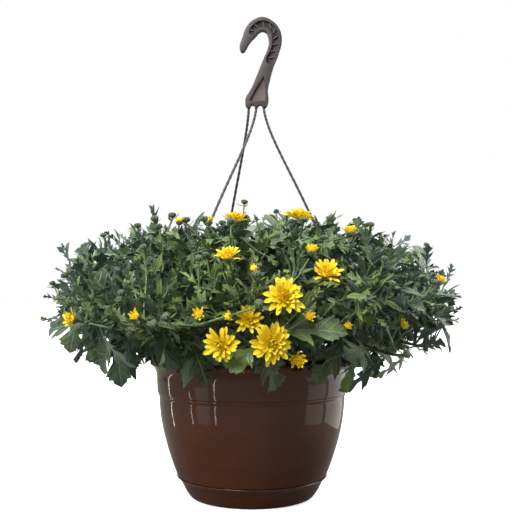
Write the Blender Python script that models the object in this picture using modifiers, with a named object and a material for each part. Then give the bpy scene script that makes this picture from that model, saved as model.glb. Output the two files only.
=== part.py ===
"""Hanging basket of yellow garden chrysanthemums, in metres, +Z up.

The origin is the middle of the saucer's underside and the front of the basket faces -Y. A bell-shaped
pot stands in its clip-on saucer and is filled with potting mix. One moulding makes the hanger: a hook,
a web and three strands whose ends pass through the pot's lip. Leafy stems rise from holes in the mix,
arch out to a flat-topped dome of foliage and carry buds and flower heads.
"""

import math
import random

import bmesh
import bpy
from mathutils import Matrix, Vector
from mathutils.bvhtree import BVHTree

# Clearance between neighbouring pieces.
GAP = 0.0003

# Pot: a 10 inch basket, turned about Z.
LIP_RADIUS = 0.127
LIP_TOP = 0.1675
LIP_DEPTH = 0.0058
FLARE_FOOT_Z = 0.147
FLARE_FOOT_RADIUS = 0.1188
BAND_Z = 0.1272
BAND_RADIUS = 0.1175
BODY_TOP_Z = 0.1215
BODY_TOP_RADIUS = 0.1153
SKIRT_Z = 0.0268
SKIRT_RADIUS = 0.0925
BODY_BULGE = 1.75
POT_WALL = 0.0022
POT_FLOOR_Z = 0.0200
SPIGOT_RADIUS = 0.0859
TURN_STEPS = 28
SMOOTH_ANGLE = math.radians(40.0)
FUSE_WELD = 0.00001
DRAIN_HOLES = 6
DRAIN_CIRCLE = 0.055
DRAIN_RADIUS = 0.005

# Saucer, closed round the pot's spigot.
SAUCER_TOP_Z = 0.0242
SAUCER_FOOT_RADIUS = 0.071
SAUCER_WALL = 0.0020

# Potting mix.
SOIL_TOP_Z = 0.148
SOIL_CROWN = 0.006
HOLE_DEPTH = 0.024
HOLE_RADIUS = 0.0031

# Hanger: hook plate in the XZ plane and three strands to the lip.
HOOK_DEPTH = 0.0095
WEB_DEPTH = 0.0035
STRAND_RADIUS = 0.0017
STRAND_HOLE_RADIUS = 0.0025
STRAND_FOOT_RADIUS = 0.1236
STRAND_FOOT_Z = 0.1585
STOP_RADIUS = 0.0029
STOP_LENGTH = 0.0035
STRANDS = ((-8.0, 0.0150), (114.0, -0.0040), (226.0, 0.0055))

# The hook's outline in X and Z, clockwise from the tip.
HOOK_OUTLINE = (
    (-0.0146, 0.5600), (-0.0120, 0.5785), (-0.0066, 0.5920), (0.0033, 0.6010), (0.0140, 0.6040),
    (0.0255, 0.5994), (0.0344, 0.5900), (0.0385, 0.5750), (0.0345, 0.5570), (0.0281, 0.5405),
    (0.0237, 0.5246), (0.0205, 0.5095), (0.0201, 0.4900), (0.0160, 0.4862), (0.0105, 0.4900),
    (0.0060, 0.4865), (0.0010, 0.4900), (-0.0040, 0.4860), (-0.0086, 0.4905), (0.0006, 0.5140),
    (0.0077, 0.5317), (0.0148, 0.5495), (0.0205, 0.5640), (0.0215, 0.5745), (0.0150, 0.5864),
    (0.0033, 0.5779), (-0.0035, 0.5700), (-0.0075, 0.5628), (-0.0111, 0.5588),
)
# The triangle of the web and the channel round the bend, both sunk from either face.
WEB_POCKET = ((0.0150, 0.5270), (0.0172, 0.5100), (0.0172, 0.4945), (-0.0035, 0.4945), (0.0050, 0.5110))
CHANNEL_POCKET = (
    (-0.0035, 0.5830), (0.0045, 0.5960), (0.0150, 0.5992), (0.0255, 0.5945), (0.0325, 0.5850),
    (0.0342, 0.5740), (0.0300, 0.5580), (0.0240, 0.5420), (0.0190, 0.5440), (0.0250, 0.5640),
    (0.0262, 0.5750), (0.0235, 0.5850), (0.0150, 0.5908), (0.0060, 0.5870), (0.0000, 0.5800),
)

# The dome of foliage: a squared ellipse turned about Z.
DOME_RADIUS = 0.247
DOME_CENTRE_Z = 0.230
DOME_RISE = 0.106
DOME_DROP = 0.110
DOME_SIDE_POWER = 2.6
DOME_RISE_POWER = 2.2

# Leafy stems: for each ring of them the tips' radius and height, how many, and the radius of their holes.
STEM_RINGS = (
    (0.050, 0.342, 3, 0.018),
    (0.150, 0.334, 8, 0.046),
    (0.234, 0.268, 10, 0.074),
    (0.226, 0.186, 8, 0.100),
)
STEM_FOOT_RADIUS = 0.0022
STEM_TIP_RADIUS = 0.0015
STALK_RADIUS = 0.0012
STEM_SIDES = 4
STEM_TWIST = 0.42
STEM_BENDS = (0.0, 0.014, -0.014, 0.028, -0.022)
NODE_STEPS = (0.125, 0.100, 0.076, 0.052, 0.030)
NODE_HEIGHT = 0.0032
STRAND_BERTH = 5.5
BUD_RADIUS = 0.0046
SIDE_BUDS = 14

# Leaves.
LEAF_SPACING = 0.0375
LEAF_THICKNESS = 0.0009
LEAF_CLEARANCE = 0.0006
LEAF_TRIES = 24
LIP_LEAVES = 18

# Flower heads: compass angle (-90 is the front), height, how far out of the dome, petal reach, how far
# open (1 is flat), petals in each ring and rings.
BLOOMS = (
    (-86, 0.199, 0.004, 0.0215, 1.00, 11, 3),
    (-97, 0.196, 0.000, 0.0185, 0.95, 10, 3),
    (-91, 0.219, -0.012, 0.0150, 0.80, 8, 2),
    (-83, 0.242, 0.004, 0.0205, 1.00, 11, 3),
    (-72, 0.266, 0.000, 0.0165, 0.70, 9, 2),
    (-74, 0.290, 0.002, 0.0095, 0.35, 6, 1),
    (-96, 0.284, 0.000, 0.0140, 0.70, 8, 2),
    (-98, 0.326, 0.004, 0.0170, 0.80, 9, 2),
    (-58, 0.331, 0.006, 0.0200, 0.90, 10, 2),
    (-79, 0.181, 0.002, 0.0115, 0.40, 7, 1),
    (-140, 0.219, 0.004, 0.0125, 0.50, 7, 2),
    (-118, 0.223, 0.000, 0.0085, 0.35, 6, 1),
    (-102, 0.226, 0.000, 0.0085, 0.40, 6, 1),
    (-119, 0.331, 0.004, 0.0090, 0.45, 6, 1),
    (-50, 0.316, 0.002, 0.0110, 0.55, 7, 1),
    (-28, 0.262, 0.002, 0.0095, 0.40, 6, 1),
    (10, 0.225, 0.002, 0.0185, 0.90, 9, 2),
    (38, 0.300, 0.002, 0.0165, 0.80, 9, 2),
    (75, 0.240, 0.002, 0.0205, 1.00, 10, 3),
    (96, 0.318, 0.004, 0.0170, 0.80, 9, 2),
    (128, 0.205, 0.002, 0.0125, 0.50, 7, 1),
    (150, 0.285, 0.002, 0.0185, 0.95, 9, 3),
    (176, 0.240, 0.002, 0.0100, 0.40, 6, 1),
)

UP = Vector((0.0, 0.0, 1.0))


def clear_scene():
    for item in list(bpy.data.objects):
        bpy.data.objects.remove(item, do_unlink=True)


def new_collection(name):
    group = bpy.data.collections.new(name)
    bpy.context.scene.collection.children.link(group)
    return group


def material(name, colour, roughness):
    """A Principled material; the colour is linear."""
    item = bpy.data.materials.new(name)
    item.use_nodes = True
    shader = item.node_tree.nodes["Principled BSDF"]
    shader.inputs["Base Color"].default_value = (*colour, 1.0)
    shader.inputs["Roughness"].default_value = roughness
    item.diffuse_color = (*colour, 1.0)
    return item


def place(name, mesh, group, finish=None):
    item = bpy.data.objects.new(name, mesh)
    group.objects.link(item)
    if finish is not None and not mesh.materials:
        mesh.materials.append(finish)
    return item


def remove(item):
    mesh = item.data
    bpy.data.objects.remove(item, do_unlink=True)
    if mesh.users == 0 and isinstance(mesh, bpy.types.Mesh):
        bpy.data.meshes.remove(mesh)


def mesh_from(item, weld=1e-6):
    """The evaluated mesh of a curve or a modified object, with its loose caps welded."""
    graph = bpy.context.evaluated_depsgraph_get()
    mesh = bpy.data.meshes.new_from_object(item.evaluated_get(graph))
    work = bmesh.new()
    work.from_mesh(mesh)
    bmesh.ops.remove_doubles(work, verts=work.verts, dist=weld)
    work.to_mesh(mesh)
    work.free()
    return mesh


def frozen(item, group, name):
    """A mesh object that takes the place of a curve."""
    result = place(name, mesh_from(item), group)
    result.matrix_world = item.matrix_world.copy()
    data = item.data
    bpy.data.objects.remove(item, do_unlink=True)
    if data.users == 0 and isinstance(data, bpy.types.Curve):
        bpy.data.curves.remove(data)
    return result


def turned(name, profile, group, finish, steps=TURN_STEPS):
    """A profile of (radius, height) points turned about Z."""
    mesh = bpy.data.meshes.new(name)
    points = [(radius, 0.0, height) for radius, height in profile]
    mesh.from_pydata(points, [(i, i + 1) for i in range(len(points) - 1)], [])
    item = place(name, mesh, group, finish)
    screw = item.modifiers.new("Turn", "SCREW")
    screw.axis = "Z"
    screw.steps = steps
    screw.render_steps = steps
    screw.use_merge_vertices = True
    screw.merge_threshold = 1e-5
    screw.use_smooth_shade = True
    return item


def cutter(item):
    item.hide_render = True
    item.display_type = "WIRE"
    return item


def cylinder(name, group, foot, top, radius, sides):
    """A closed cylinder from one point to another."""
    axis = Vector(top) - Vector(foot)
    work = bmesh.new()
    bmesh.ops.create_cone(
        work, cap_ends=True, segments=sides, radius1=radius, radius2=radius, depth=axis.length
    )
    turn = axis.to_track_quat("Z", "Y").to_matrix().to_4x4()
    middle = (Vector(foot) + Vector(top)) / 2
    bmesh.ops.transform(work, matrix=Matrix.Translation(middle) @ turn, verts=work.verts)
    mesh = bpy.data.meshes.new(name)
    work.to_mesh(mesh)
    work.free()
    return place(name, mesh, group)


def cut_by_group(item, group, operation="DIFFERENCE", solver="EXACT"):
    join = item.modifiers.new(operation.title(), "BOOLEAN")
    join.operation = operation
    join.operand_type = "COLLECTION"
    join.collection = group
    join.solver = solver


def fuse(item, group, solver="EXACT"):
    """Join a collection's closed bodies to the item, apply the union and remove them."""
    cut_by_group(item, group, "UNION", solver)
    bpy.context.view_layer.update()
    mesh = mesh_from(item, FUSE_WELD)
    item.modifiers.clear()
    old = item.data
    materials = list(old.materials)
    item.data = mesh
    mesh.name = item.name
    mesh.materials.clear()
    for finish in materials[:1]:
        mesh.materials.append(finish)
    for face in mesh.polygons:
        face.material_index = 0
    mesh.shade_smooth()
    mesh.set_sharp_from_angle(angle=SMOOTH_ANGLE)
    bpy.data.meshes.remove(old)
    for part in list(group.objects):
        remove(part)
    bpy.data.collections.remove(group)


# The pot, its saucer and the mix.

def body_radius(height):
    """The bell of the wall between the skirt and the band."""
    rise = (height - SKIRT_Z) / (BODY_TOP_Z - SKIRT_Z)
    return SKIRT_RADIUS + (BODY_TOP_RADIUS - SKIRT_RADIUS) * (1.0 - (1.0 - rise) ** BODY_BULGE)


def flare_radius(height):
    """The hollow curve under the lip."""
    rise = (height - FLARE_FOOT_Z) / (LIP_TOP - LIP_DEPTH - FLARE_FOOT_Z)
    return FLARE_FOOT_RADIUS + (LIP_RADIUS - 0.0016 - FLARE_FOOT_RADIUS) * max(rise, 0.0) ** 2.2


def inner_radius(height):
    """The inside of the pot's wall."""
    if height >= BAND_Z:
        return flare_radius(height - 0.0012) - POT_WALL
    if height >= BODY_TOP_Z:
        return BODY_TOP_RADIUS - POT_WALL
    return body_radius(max(height, SKIRT_Z)) - POT_WALL


def pot_profile():
    lip_foot = LIP_TOP - LIP_DEPTH
    well = SPIGOT_RADIUS - POT_WALL
    inside = [(0.0, POT_FLOOR_Z + POT_WALL), (well, POT_FLOOR_Z + POT_WALL), (well, SKIRT_Z)]
    inside += [(inner_radius(z), z) for z in (0.0300, 0.0540, 0.0850, 0.1210, 0.1480, 0.1580)]
    lip = [
        (LIP_RADIUS - 0.0022, LIP_TOP),
        (LIP_RADIUS - 0.0004, LIP_TOP),
        (LIP_RADIUS, lip_foot),
    ]
    outside = [(flare_radius(z), z) for z in (lip_foot, 0.1565, FLARE_FOOT_Z)]
    band = [
        (BAND_RADIUS, BAND_Z),
        (BAND_RADIUS - 0.0012, BAND_Z - 0.0008),
        (BAND_RADIUS - 0.0012, BAND_Z - 0.0028),
        (BODY_TOP_RADIUS, BODY_TOP_Z),
    ]
    bell = [(body_radius(z), z) for z in (0.0980, 0.0740, 0.0520, 0.0360, SKIRT_Z)]
    foot = [
        (SPIGOT_RADIUS, SAUCER_TOP_Z + GAP),
        (SPIGOT_RADIUS, POT_FLOOR_Z),
        (0.0, POT_FLOOR_Z),
    ]
    return inside + lip + outside + band + bell + foot


def make_pot(parts, cutters, finish, strand_axes):
    pot = turned("pot", pot_profile(), parts, finish)
    for index in range(DRAIN_HOLES):
        angle = math.tau * index / DRAIN_HOLES
        x, y = DRAIN_CIRCLE * math.cos(angle), DRAIN_CIRCLE * math.sin(angle)
        hole = cylinder(
            f"drain_{index}", cutters, (x, y, POT_FLOOR_Z - 0.002), (x, y, POT_FLOOR_Z + 0.005),
            DRAIN_RADIUS, 8,
        )
        cutter(hole)
    for index, (point, along) in enumerate(strand_axes):
        hole = cylinder(
            f"strand_hole_{index}", cutters, point + along * 0.007, point - along * 0.0115,
            STRAND_HOLE_RADIUS, 8,
        )
        cutter(hole)
    cut_by_group(pot, cutters)
    return pot


def make_saucer(parts, finish):
    """The foot of the basket; its rim closes round the pot's spigot, which stands on its ledge."""
    rim = SPIGOT_RADIUS + GAP
    ledge_z = POT_FLOOR_Z - GAP
    profile = [
        (0.0, SAUCER_WALL),
        (SAUCER_FOOT_RADIUS, SAUCER_WALL),
        (0.0800, 0.0110),
        (0.0838, ledge_z),
        (rim, ledge_z),
        (rim, SAUCER_TOP_Z),
        (rim + SAUCER_WALL, SAUCER_TOP_Z),
        (0.0850, 0.0145),
        (0.0800, 0.0058),
        (0.0762, 0.0010),
        (SAUCER_FOOT_RADIUS, 0.0),
        (0.0, 0.0),
    ]
    return turned("saucer", profile, parts, finish)


def make_soil(parts, holes, finish):
    top = SOIL_TOP_Z
    edge = inner_radius(top) - 0.0009
    profile = [(0.0, top + SOIL_CROWN), (0.060, top + SOIL_CROWN * 0.8), (edge, top)]
    profile += [(inner_radius(z) - 2 * GAP, z) for z in (0.1210, 0.0850, 0.0540, 0.0300)]
    profile += [
        (SPIGOT_RADIUS - POT_WALL - 2 * GAP, SKIRT_Z),
        (SPIGOT_RADIUS - POT_WALL - 2 * GAP, POT_FLOOR_Z + POT_WALL + GAP),
        (0.0, POT_FLOOR_Z + POT_WALL + GAP),
    ]
    soil = turned("soil", profile, parts, finish)
    cut_by_group(soil, holes)
    return soil


# The hanger.

def strand_route(angle, start_x):
    """Points of one strand from the hook's foot to its stop, bowed outwards as moulded."""
    heading = Vector((math.cos(math.radians(angle)), math.sin(math.radians(angle)), 0.0))
    start = Vector((start_x, 0.0, 0.4905))
    foot = heading * STRAND_FOOT_RADIUS + UP * STRAND_FOOT_Z
    shoulder = start - UP * 0.055
    elbow = foot + UP * 0.150 - heading * 0.002
    points = []
    steps = 7
    for index in range(steps + 1):
        t = index / steps
        points.append(
            start * (1 - t) ** 3 + shoulder * (3 * t * (1 - t) ** 2)
            + elbow * (3 * t * t * (1 - t)) + foot * t ** 3
        )
    along = (points[-1] - points[-2]).normalized()
    points.append(foot + along * (STOP_LENGTH + 0.0045))
    return points, foot, along


def tube(name, points, radius, group):
    """A closed tube through the points, as a mesh."""
    curve = bpy.data.curves.new(name, "CURVE")
    curve.dimensions = "3D"
    curve.bevel_depth = radius
    curve.bevel_resolution = 0
    curve.use_fill_caps = True
    spline = curve.splines.new("POLY")
    spline.points.add(len(points) - 1)
    for knot, point in zip(spline.points, points):
        knot.co = (*point, 1.0)
    item = bpy.data.objects.new(name + "_route", curve)
    group.objects.link(item)
    bpy.context.view_layer.update()
    return frozen(item, group, name)


def plate(name, outline, depth, group, smooth):
    """A flat outline in X and Z with a thickness along Y, as a mesh."""
    curve = bpy.data.curves.new(name, "CURVE")
    curve.dimensions = "2D"
    curve.fill_mode = "BOTH"
    curve.extrude = depth / 2
    curve.resolution_u = 2 if smooth else 1
    curve.render_resolution_u = 0
    spline = curve.splines.new("BEZIER")
    spline.bezier_points.add(len(outline) - 1)
    for knot, (x, z) in zip(spline.bezier_points, outline):
        knot.co = (x, z, 0.0)
        knot.handle_left_type = knot.handle_right_type = "AUTO" if smooth else "VECTOR"
    spline.use_cyclic_u = True
    item = bpy.data.objects.new(name + "_outline", curve)
    item.rotation_euler = (math.radians(90.0), 0.0, 0.0)
    group.objects.link(item)
    bpy.context.view_layer.update()
    result = frozen(item, group, name)
    result.data.transform(result.matrix_world)
    result.matrix_world = Matrix.Identity(4)
    return result


def make_hanger(parts, cutters, finish, routes):
    hanger = plate("hanger", HOOK_OUTLINE, HOOK_DEPTH, parts, True)
    hanger.data.materials.append(finish)
    pocket_depth = (HOOK_DEPTH - WEB_DEPTH) / 2
    for name, outline, smooth in (("web", WEB_POCKET, False), ("channel", CHANNEL_POCKET, False)):
        for side in (-1, 1):
            pocket = plate(f"{name}_pocket_{side}", outline, 2 * pocket_depth, cutters, smooth)
            pocket.data.transform(Matrix.Translation((0.0, side * HOOK_DEPTH / 2, 0.0)))
            cutter(pocket)
    cut_by_group(hanger, cutters)
    strands = new_collection("strands")
    for index, (points, foot, along) in enumerate(routes):
        reach = points[-1] + along * 0.0005
        tube(f"strand_{index}", points, STRAND_RADIUS, strands)
        cylinder(f"stop_{index}", strands, reach - along * STOP_LENGTH, reach, STOP_RADIUS, 6)
    fuse(hanger, strands)
    return hanger


# The plant.

def dome_radius(height, scale=1.0):
    rise = height - DOME_CENTRE_Z
    reach = DOME_RISE if rise > 0 else DOME_DROP
    left = 1.0 - min(abs(rise) / (reach * scale), 1.0) ** DOME_RISE_POWER
    return DOME_RADIUS * scale * left ** (1.0 / DOME_SIDE_POWER)


def dome_point(angle, height):
    radius = dome_radius(height)
    return Vector((radius * math.cos(angle), radius * math.sin(angle), height))


def dome_normal(point):
    """The outward direction of the dome at a point near it."""
    radius = math.hypot(point.x, point.y)
    rise = point.z - DOME_CENTRE_Z
    reach = DOME_RISE if rise > 0 else DOME_DROP
    across = (radius / DOME_RADIUS) ** (DOME_SIDE_POWER - 1) * DOME_SIDE_POWER / DOME_RADIUS
    upward = (abs(rise) / reach) ** (DOME_RISE_POWER - 1) * DOME_RISE_POWER / reach
    flat = Vector((point.x, point.y, 0.0)).normalized() if radius > 1e-6 else Vector((1.0, 0.0, 0.0))
    return (flat * across + UP * math.copysign(upward, rise)).normalized()


def dome_rings(spacing):
    """Points spread evenly over the dome: rings down its outline, each with its share of points."""
    outline = []
    for step in range(241):
        angle = math.radians(90.0 - step * 0.62)
        lift = math.copysign(abs(math.sin(angle)) ** (2.0 / DOME_RISE_POWER), math.sin(angle))
        reach = DOME_RISE if lift > 0 else DOME_DROP
        outline.append(Vector((
            DOME_RADIUS * max(math.cos(angle), 0.0) ** (2.0 / DOME_SIDE_POWER), 0.0,
            DOME_CENTRE_Z + reach * lift,
        )))
    points = []
    walked = 0.0
    wanted = spacing * 0.5
    turn = 0.0
    for before, after in zip(outline, outline[1:]):
        walked += (after - before).length
        if walked < wanted:
            continue
        wanted += spacing
        count = max(3, round(math.tau * after.x / spacing))
        turn += 0.5
        for index in range(count):
            angle = math.tau * (index + turn % 1.0) / count
            points.append(Vector((after.x * math.cos(angle), after.x * math.sin(angle), after.z)))
    return points


def cup_size(reach):
    """Radius and depth of the green cup under a flower."""
    return 0.0028 + reach * 0.15, 0.0030 + reach * 0.10


def smooth_route(start, first, last, end, steps):
    """Points of a cubic curve from its start to its end."""
    points = []
    for index in range(steps + 1):
        t = index / steps
        points.append(
            start * (1 - t) ** 3 + first * (3 * t * (1 - t) ** 2) + last * (3 * t * t * (1 - t)) + end * t ** 3
        )
    return points


def along_route(points, share):
    """The point and the direction at a share of the route's length."""
    lengths = [(b - a).length for a, b in zip(points, points[1:])]
    left = share * sum(lengths)
    for a, b, length in zip(points, points[1:], lengths):
        if left <= length:
            return a.lerp(b, left / length), (b - a).normalized()
        left -= length
    return points[-1], (points[-1] - points[-2]).normalized()


def ring_corners(centre, heading, side, radius, twist):
    """The corners of a stem's section, square to its heading."""
    other = heading.cross(side)
    corners = []
    for index in range(STEM_SIDES):
        angle = twist + math.tau * index / STEM_SIDES
        corners.append(centre + side * (radius * math.cos(angle)) + other * (radius * math.sin(angle)))
    return corners


def stacked(rings):
    """A body of stacked rings, closed at both ends; returns it with its rings of corners."""
    work = bmesh.new()
    grown_rings = [[work.verts.new(spot) for spot in rings[0]]]
    top = work.faces.new(grown_rings[0])
    for ring, spots in enumerate(rings[1:]):
        before = [corner.co.copy() for corner in grown_rings[-1]]
        grown = bmesh.ops.extrude_face_region(work, geom=[top])["geom"]
        if ring:
            bmesh.ops.delete(work, geom=[top], context="FACES_ONLY")
        top = next(item for item in grown if isinstance(item, bmesh.types.BMFace))
        corners = [min(top.verts, key=lambda item: (item.co - spot).length) for spot in before]
        for corner, spot in zip(corners, spots):
            corner.co = spot
        grown_rings.append(corners)
    bmesh.ops.recalc_face_normals(work, faces=work.faces[:])
    return work, grown_rings


def stalk_body(points, radius):
    """A thin closed stalk through the points."""
    rings = []
    side = (points[1] - points[0]).orthogonal().normalized()
    for index, point in enumerate(points):
        before, after = points[max(index - 1, 0)], points[min(index + 1, len(points) - 1)]
        heading = (after - before).normalized()
        side = (side - heading * side.dot(heading)).normalized()
        rings.append(ring_corners(point, heading, side, radius, 0.0))
    return stacked(rings)[0]


def as_object(name, work, group, finish=None):
    """Turn the worked mesh into an object and free it."""
    mesh = bpy.data.meshes.new(name)
    work.to_mesh(mesh)
    work.free()
    return place(name, mesh, group, finish)


class Head:
    """A flower: where the middle of its seat is, the way it looks, and its petals."""

    def __init__(self, row, draw):
        angle, height, proud, self.reach, self.openness, self.petals, self.rings = row
        surface = dome_point(math.radians(angle), height)
        self.seat = surface + dome_normal(surface) * (proud - 0.005)
        wander = Vector((draw.uniform(-1, 1), draw.uniform(-1, 1), draw.uniform(-1, 1))) * 0.18
        outward = dome_normal(surface) * (0.6 + 0.5 * self.openness)
        self.axis = (outward + UP * 0.35 + wander).normalized()


class Stem:
    """A leafy stem that ends in a bud or in the cup of a flower."""

    def __init__(self, hole, tip):
        self.hole = hole
        self.tip = tip
        self.axis = (dome_normal(tip) + UP * 0.9).normalized()
        self.head = None

    def settle(self, bend):
        """The route out of the hole and over to the tip, and the rings of the stem along it."""
        foot = Vector((self.hole.x, self.hole.y, SOIL_TOP_Z - HOLE_DEPTH + 3 * GAP))
        neck = Vector((self.hole.x, self.hole.y, SOIL_TOP_Z + 0.010))
        sink = 0.0 if self.head is None else cup_size(self.head.reach)[1] * 0.5
        top = self.tip - self.axis * sink
        rise = max(0.050, (top.z - neck.z) * 0.62) + bend
        if top.z < 0.215:
            rise += 0.030
        arrive = top - self.axis * (top - neck).length * 0.28
        self.route = smooth_route(neck, neck + UP * rise, arrive, top, 24)
        length = sum((b - a).length for a, b in zip(self.route, self.route[1:]))
        shares = [0.0, 0.22, 0.42]
        self.nodes = []
        for step in NODE_STEPS:
            share = 1.0 - step / length
            if share > 0.46:
                self.nodes.append(len(shares))
                shares += [share, share + NODE_HEIGHT / length]
        shares += [1.0]
        side = Vector((1.0, 0.0, 0.0))
        self.rings = [ring_corners(foot, UP, side, STEM_FOOT_RADIUS, 0.0)]
        for index, share in enumerate(shares):
            point, heading = along_route(self.route, share)
            side = (side - heading * side.dot(heading)).normalized()
            radius = STEM_FOOT_RADIUS + (STEM_TIP_RADIUS - STEM_FOOT_RADIUS) * share
            self.rings.append(ring_corners(point, heading, side, radius, STEM_TWIST * (index // 2)))
        self.nodes = [index + 1 for index in self.nodes]
        self.used = set()


def plan_stems():
    """Every stem ring by ring, the steep ones in the middle, the nearest ones bent to the flowers."""
    draw = random.Random(11)
    strand_angles = [math.radians(angle) for angle, _ in STRANDS]
    berth = math.radians(STRAND_BERTH)
    stems = []
    for ring, (tip_radius, tip_z, count, hole_radius) in enumerate(STEM_RINGS):
        for index in range(count):
            angle = math.tau * (index + 0.5 * (ring % 2)) / count + 0.35 + draw.uniform(-0.06, 0.06)
            for strand in strand_angles:
                apart = math.remainder(angle - strand, math.tau)
                if ring and abs(apart) < berth:
                    angle = strand + math.copysign(berth, apart)
            lean = Vector((math.cos(angle), math.sin(angle), 0.0))
            height = tip_z + draw.uniform(-0.006, 0.006)
            tip = lean * (tip_radius + draw.uniform(-0.006, 0.006)) + UP * height
            stems.append(Stem(lean * hole_radius, tip))
    draw = random.Random(23)
    heads = [Head(row, draw) for row in BLOOMS]
    side_heads = []
    for head in heads:
        free = [stem for stem in stems if stem.head is None and (stem.tip - head.seat).length < 0.062]
        if free:
            stem = min(free, key=lambda item: (item.tip - head.seat).length)
            stem.tip, stem.axis, stem.head = head.seat, head.axis, head
        else:
            side_heads.append(head)
    return stems, heads, side_heads


def nearest_stem(stems, point):
    """The stem whose leafy stretch comes nearest to the point."""
    def distance(index):
        route = stems[index].route
        return min((knot - point).length for knot in route[12:])
    return min(range(len(stems)), key=distance)


def branch(stems, bed, seat, axis, drop, skip=()):
    """A stem near the seat, and a stalk from it to the seat that crosses nothing planted."""
    near = sorted(range(len(stems)), key=lambda index: (stems[index].tip - seat).length)[:3]
    end = seat - axis * drop
    for owner in near:
        for share in (0.84, 0.76, 0.68, 0.60, 0.52, 0.44):
            root, heading = along_route(stems[owner].route, share)
            span = (end - root).length
            route = smooth_route(root, root + heading * span * 0.3, end - axis * span * 0.35, end, 2)
            probe = stalk_body(route, STALK_RADIUS + 0.0008)
            crossed = bed.meets(probe, (("tube", owner), *skip))
            probe.free()
            if not crossed:
                return owner, route
    return None, None


# Shapes of the leaf: pairs of (share of length, half width) across the rib, and the lobe before each pair.
LEAF_KINDS = {
    "five_lobed": (((0.50, 0.150), (0.47, 0.27)), ((0.76, 0.145), (0.77, 0.27))),
    "three_lobed": (((0.62, 0.165), (0.60, 0.29)),),
    "lance": (((0.52, 0.140), None),),
}


class Blade:
    """A leaf or petal that leaves its base along a heading and arches over."""

    def __init__(self, base, tip, up, droop):
        chord = tip - base
        along = chord.normalized()
        normal = (up - along * up.dot(along)).normalized()
        half = droop / 2
        self.base = base
        self.droop = droop
        self.heading = along * math.cos(half) + normal * math.sin(half)
        self.normal = normal * math.cos(half) - along * math.sin(half)
        self.across = self.heading.cross(self.normal)
        self.length = chord.length * half / math.sin(half)

    def at(self, share, side, cup):
        """A point on the blade, side being its distance from the rib."""
        turn = self.droop * share
        rib = (
            self.base
            + self.heading * (self.length * math.sin(turn) / self.droop)
            - self.normal * (self.length * (1 - math.cos(turn)) / self.droop)
        )
        return rib + self.across * side + self.normal_at(share) * (abs(side) * cup)

    def normal_at(self, share):
        turn = self.droop * share
        return self.normal * math.cos(turn) + self.heading * math.sin(turn)


def draw_leaf(work, face, blade, kind, thickness, scale=1.0):
    """Draw a face of the stem out to a leaf: pairs of corners across the rib, lobes and a pointed tip."""
    size = blade.length
    near = None
    for (share, half), lobe in LEAF_KINDS[kind]:
        corners = []
        for side, lift in ((-1, 1), (-1, -1), (1, -1), (1, 1)):
            flat = blade.at(share, side * half * size * scale, 0.25)
            corners.append(flat + blade.normal_at(share) * (lift * thickness / 2))
        old = list(face.verts)
        if near is None:
            near = matched(old, corners, blade)
        places = [corner.co.copy() for corner in near]
        face = bmesh.ops.extrude_discrete_faces(work, faces=[face])["faces"][0]
        far = [min(face.verts, key=lambda item: (item.co - spot).length) for spot in places]
        for corner, spot in zip(far, corners):
            corner.co = spot
        for side, (first, second) in ((-1, (0, 1)), (1, (2, 3))):
            if lobe is None:
                continue
            wall = work.faces.get((near[first], near[second], far[second], far[first]))
            peak = bmesh.ops.poke(work, faces=[wall])["verts"][0]
            peak.co = blade.at(lobe[0], side * lobe[1] * size * scale, 0.25)
        for a, b in ((3, 0), (2, 1)):
            skin = work.faces.get((near[a], near[b], far[b], far[a]))
            bmesh.utils.face_split(skin, near[a], far[b])
        near = far
    peak = bmesh.ops.poke(work, faces=[face])["verts"][0]
    peak.co = blade.at(1.0, 0.0, 0.0)


def matched(corners, spots, blade):
    """The face's corners in the order of the spots around the blade that they turn least to reach."""
    centre = sum((corner.co for corner in corners), Vector()) / len(corners)
    target = sum(spots, Vector()) / len(spots)
    best = None
    for order in (corners, corners[::-1]):
        for shift in range(len(order)):
            turned_order = order[shift:] + order[:shift]
            cost = 0.0
            for corner, spot in zip(turned_order, spots):
                flat = corner.co - centre
                flat = (flat - blade.heading * flat.dot(blade.heading)).normalized()
                cost -= flat.dot((spot - target).normalized())
            if best is None or cost < best[0]:
                best = (cost, turned_order)
    return best[1]


def leaf_probe(corners, blade, kind):
    """A leaf by itself, a little larger than life, that starts just off the stem."""
    work = bmesh.new()
    out = blade.heading * 0.0009
    face = work.faces.new([work.verts.new(corner + out) for corner in corners])
    draw_leaf(work, face, blade, kind, LEAF_THICKNESS + 2 * LEAF_CLEARANCE, 1.05)
    return work


class Bed:
    """What is already planted: trees of triangles with a ball round each, to test new growth against."""

    def __init__(self):
        self.items = []

    def meets_mesh(self, mesh, skip):
        work = bmesh.new()
        work.from_mesh(mesh)
        crossed = self.meets(work, skip)
        work.free()
        return crossed

    def add(self, work, owner):
        corners = [corner.co.copy() for corner in work.verts]
        middle = sum(corners, Vector()) / len(corners)
        reach = max((corner - middle).length for corner in corners)
        self.items.append((middle, reach, BVHTree.FromBMesh(work), owner))

    def add_mesh(self, mesh, owner):
        work = bmesh.new()
        work.from_mesh(mesh)
        self.add(work, owner)
        work.free()

    def meets(self, work, skip):
        """Whether the growth crosses anything except what the skipped owners hold."""
        corners = [corner.co.copy() for corner in work.verts]
        middle = sum(corners, Vector()) / len(corners)
        reach = max((corner - middle).length for corner in corners)
        own = BVHTree.FromBMesh(work)
        for centre, radius, tree, owner in self.items:
            if owner in skip or (centre - middle).length > radius + reach:
                continue
            if tree.overlap(own):
                return True
        return False


def free_faces(stem):
    """The faces of the stem's nodes that hold no leaf yet."""
    for node in stem.nodes:
        for side in range(STEM_SIDES):
            if (node, side) not in stem.used:
                lower, upper = stem.rings[node], stem.rings[node + 1]
                after = (side + 1) % STEM_SIDES
                corners = [lower[side], lower[after], upper[after], upper[side]]
                yield node, side, corners


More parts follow.
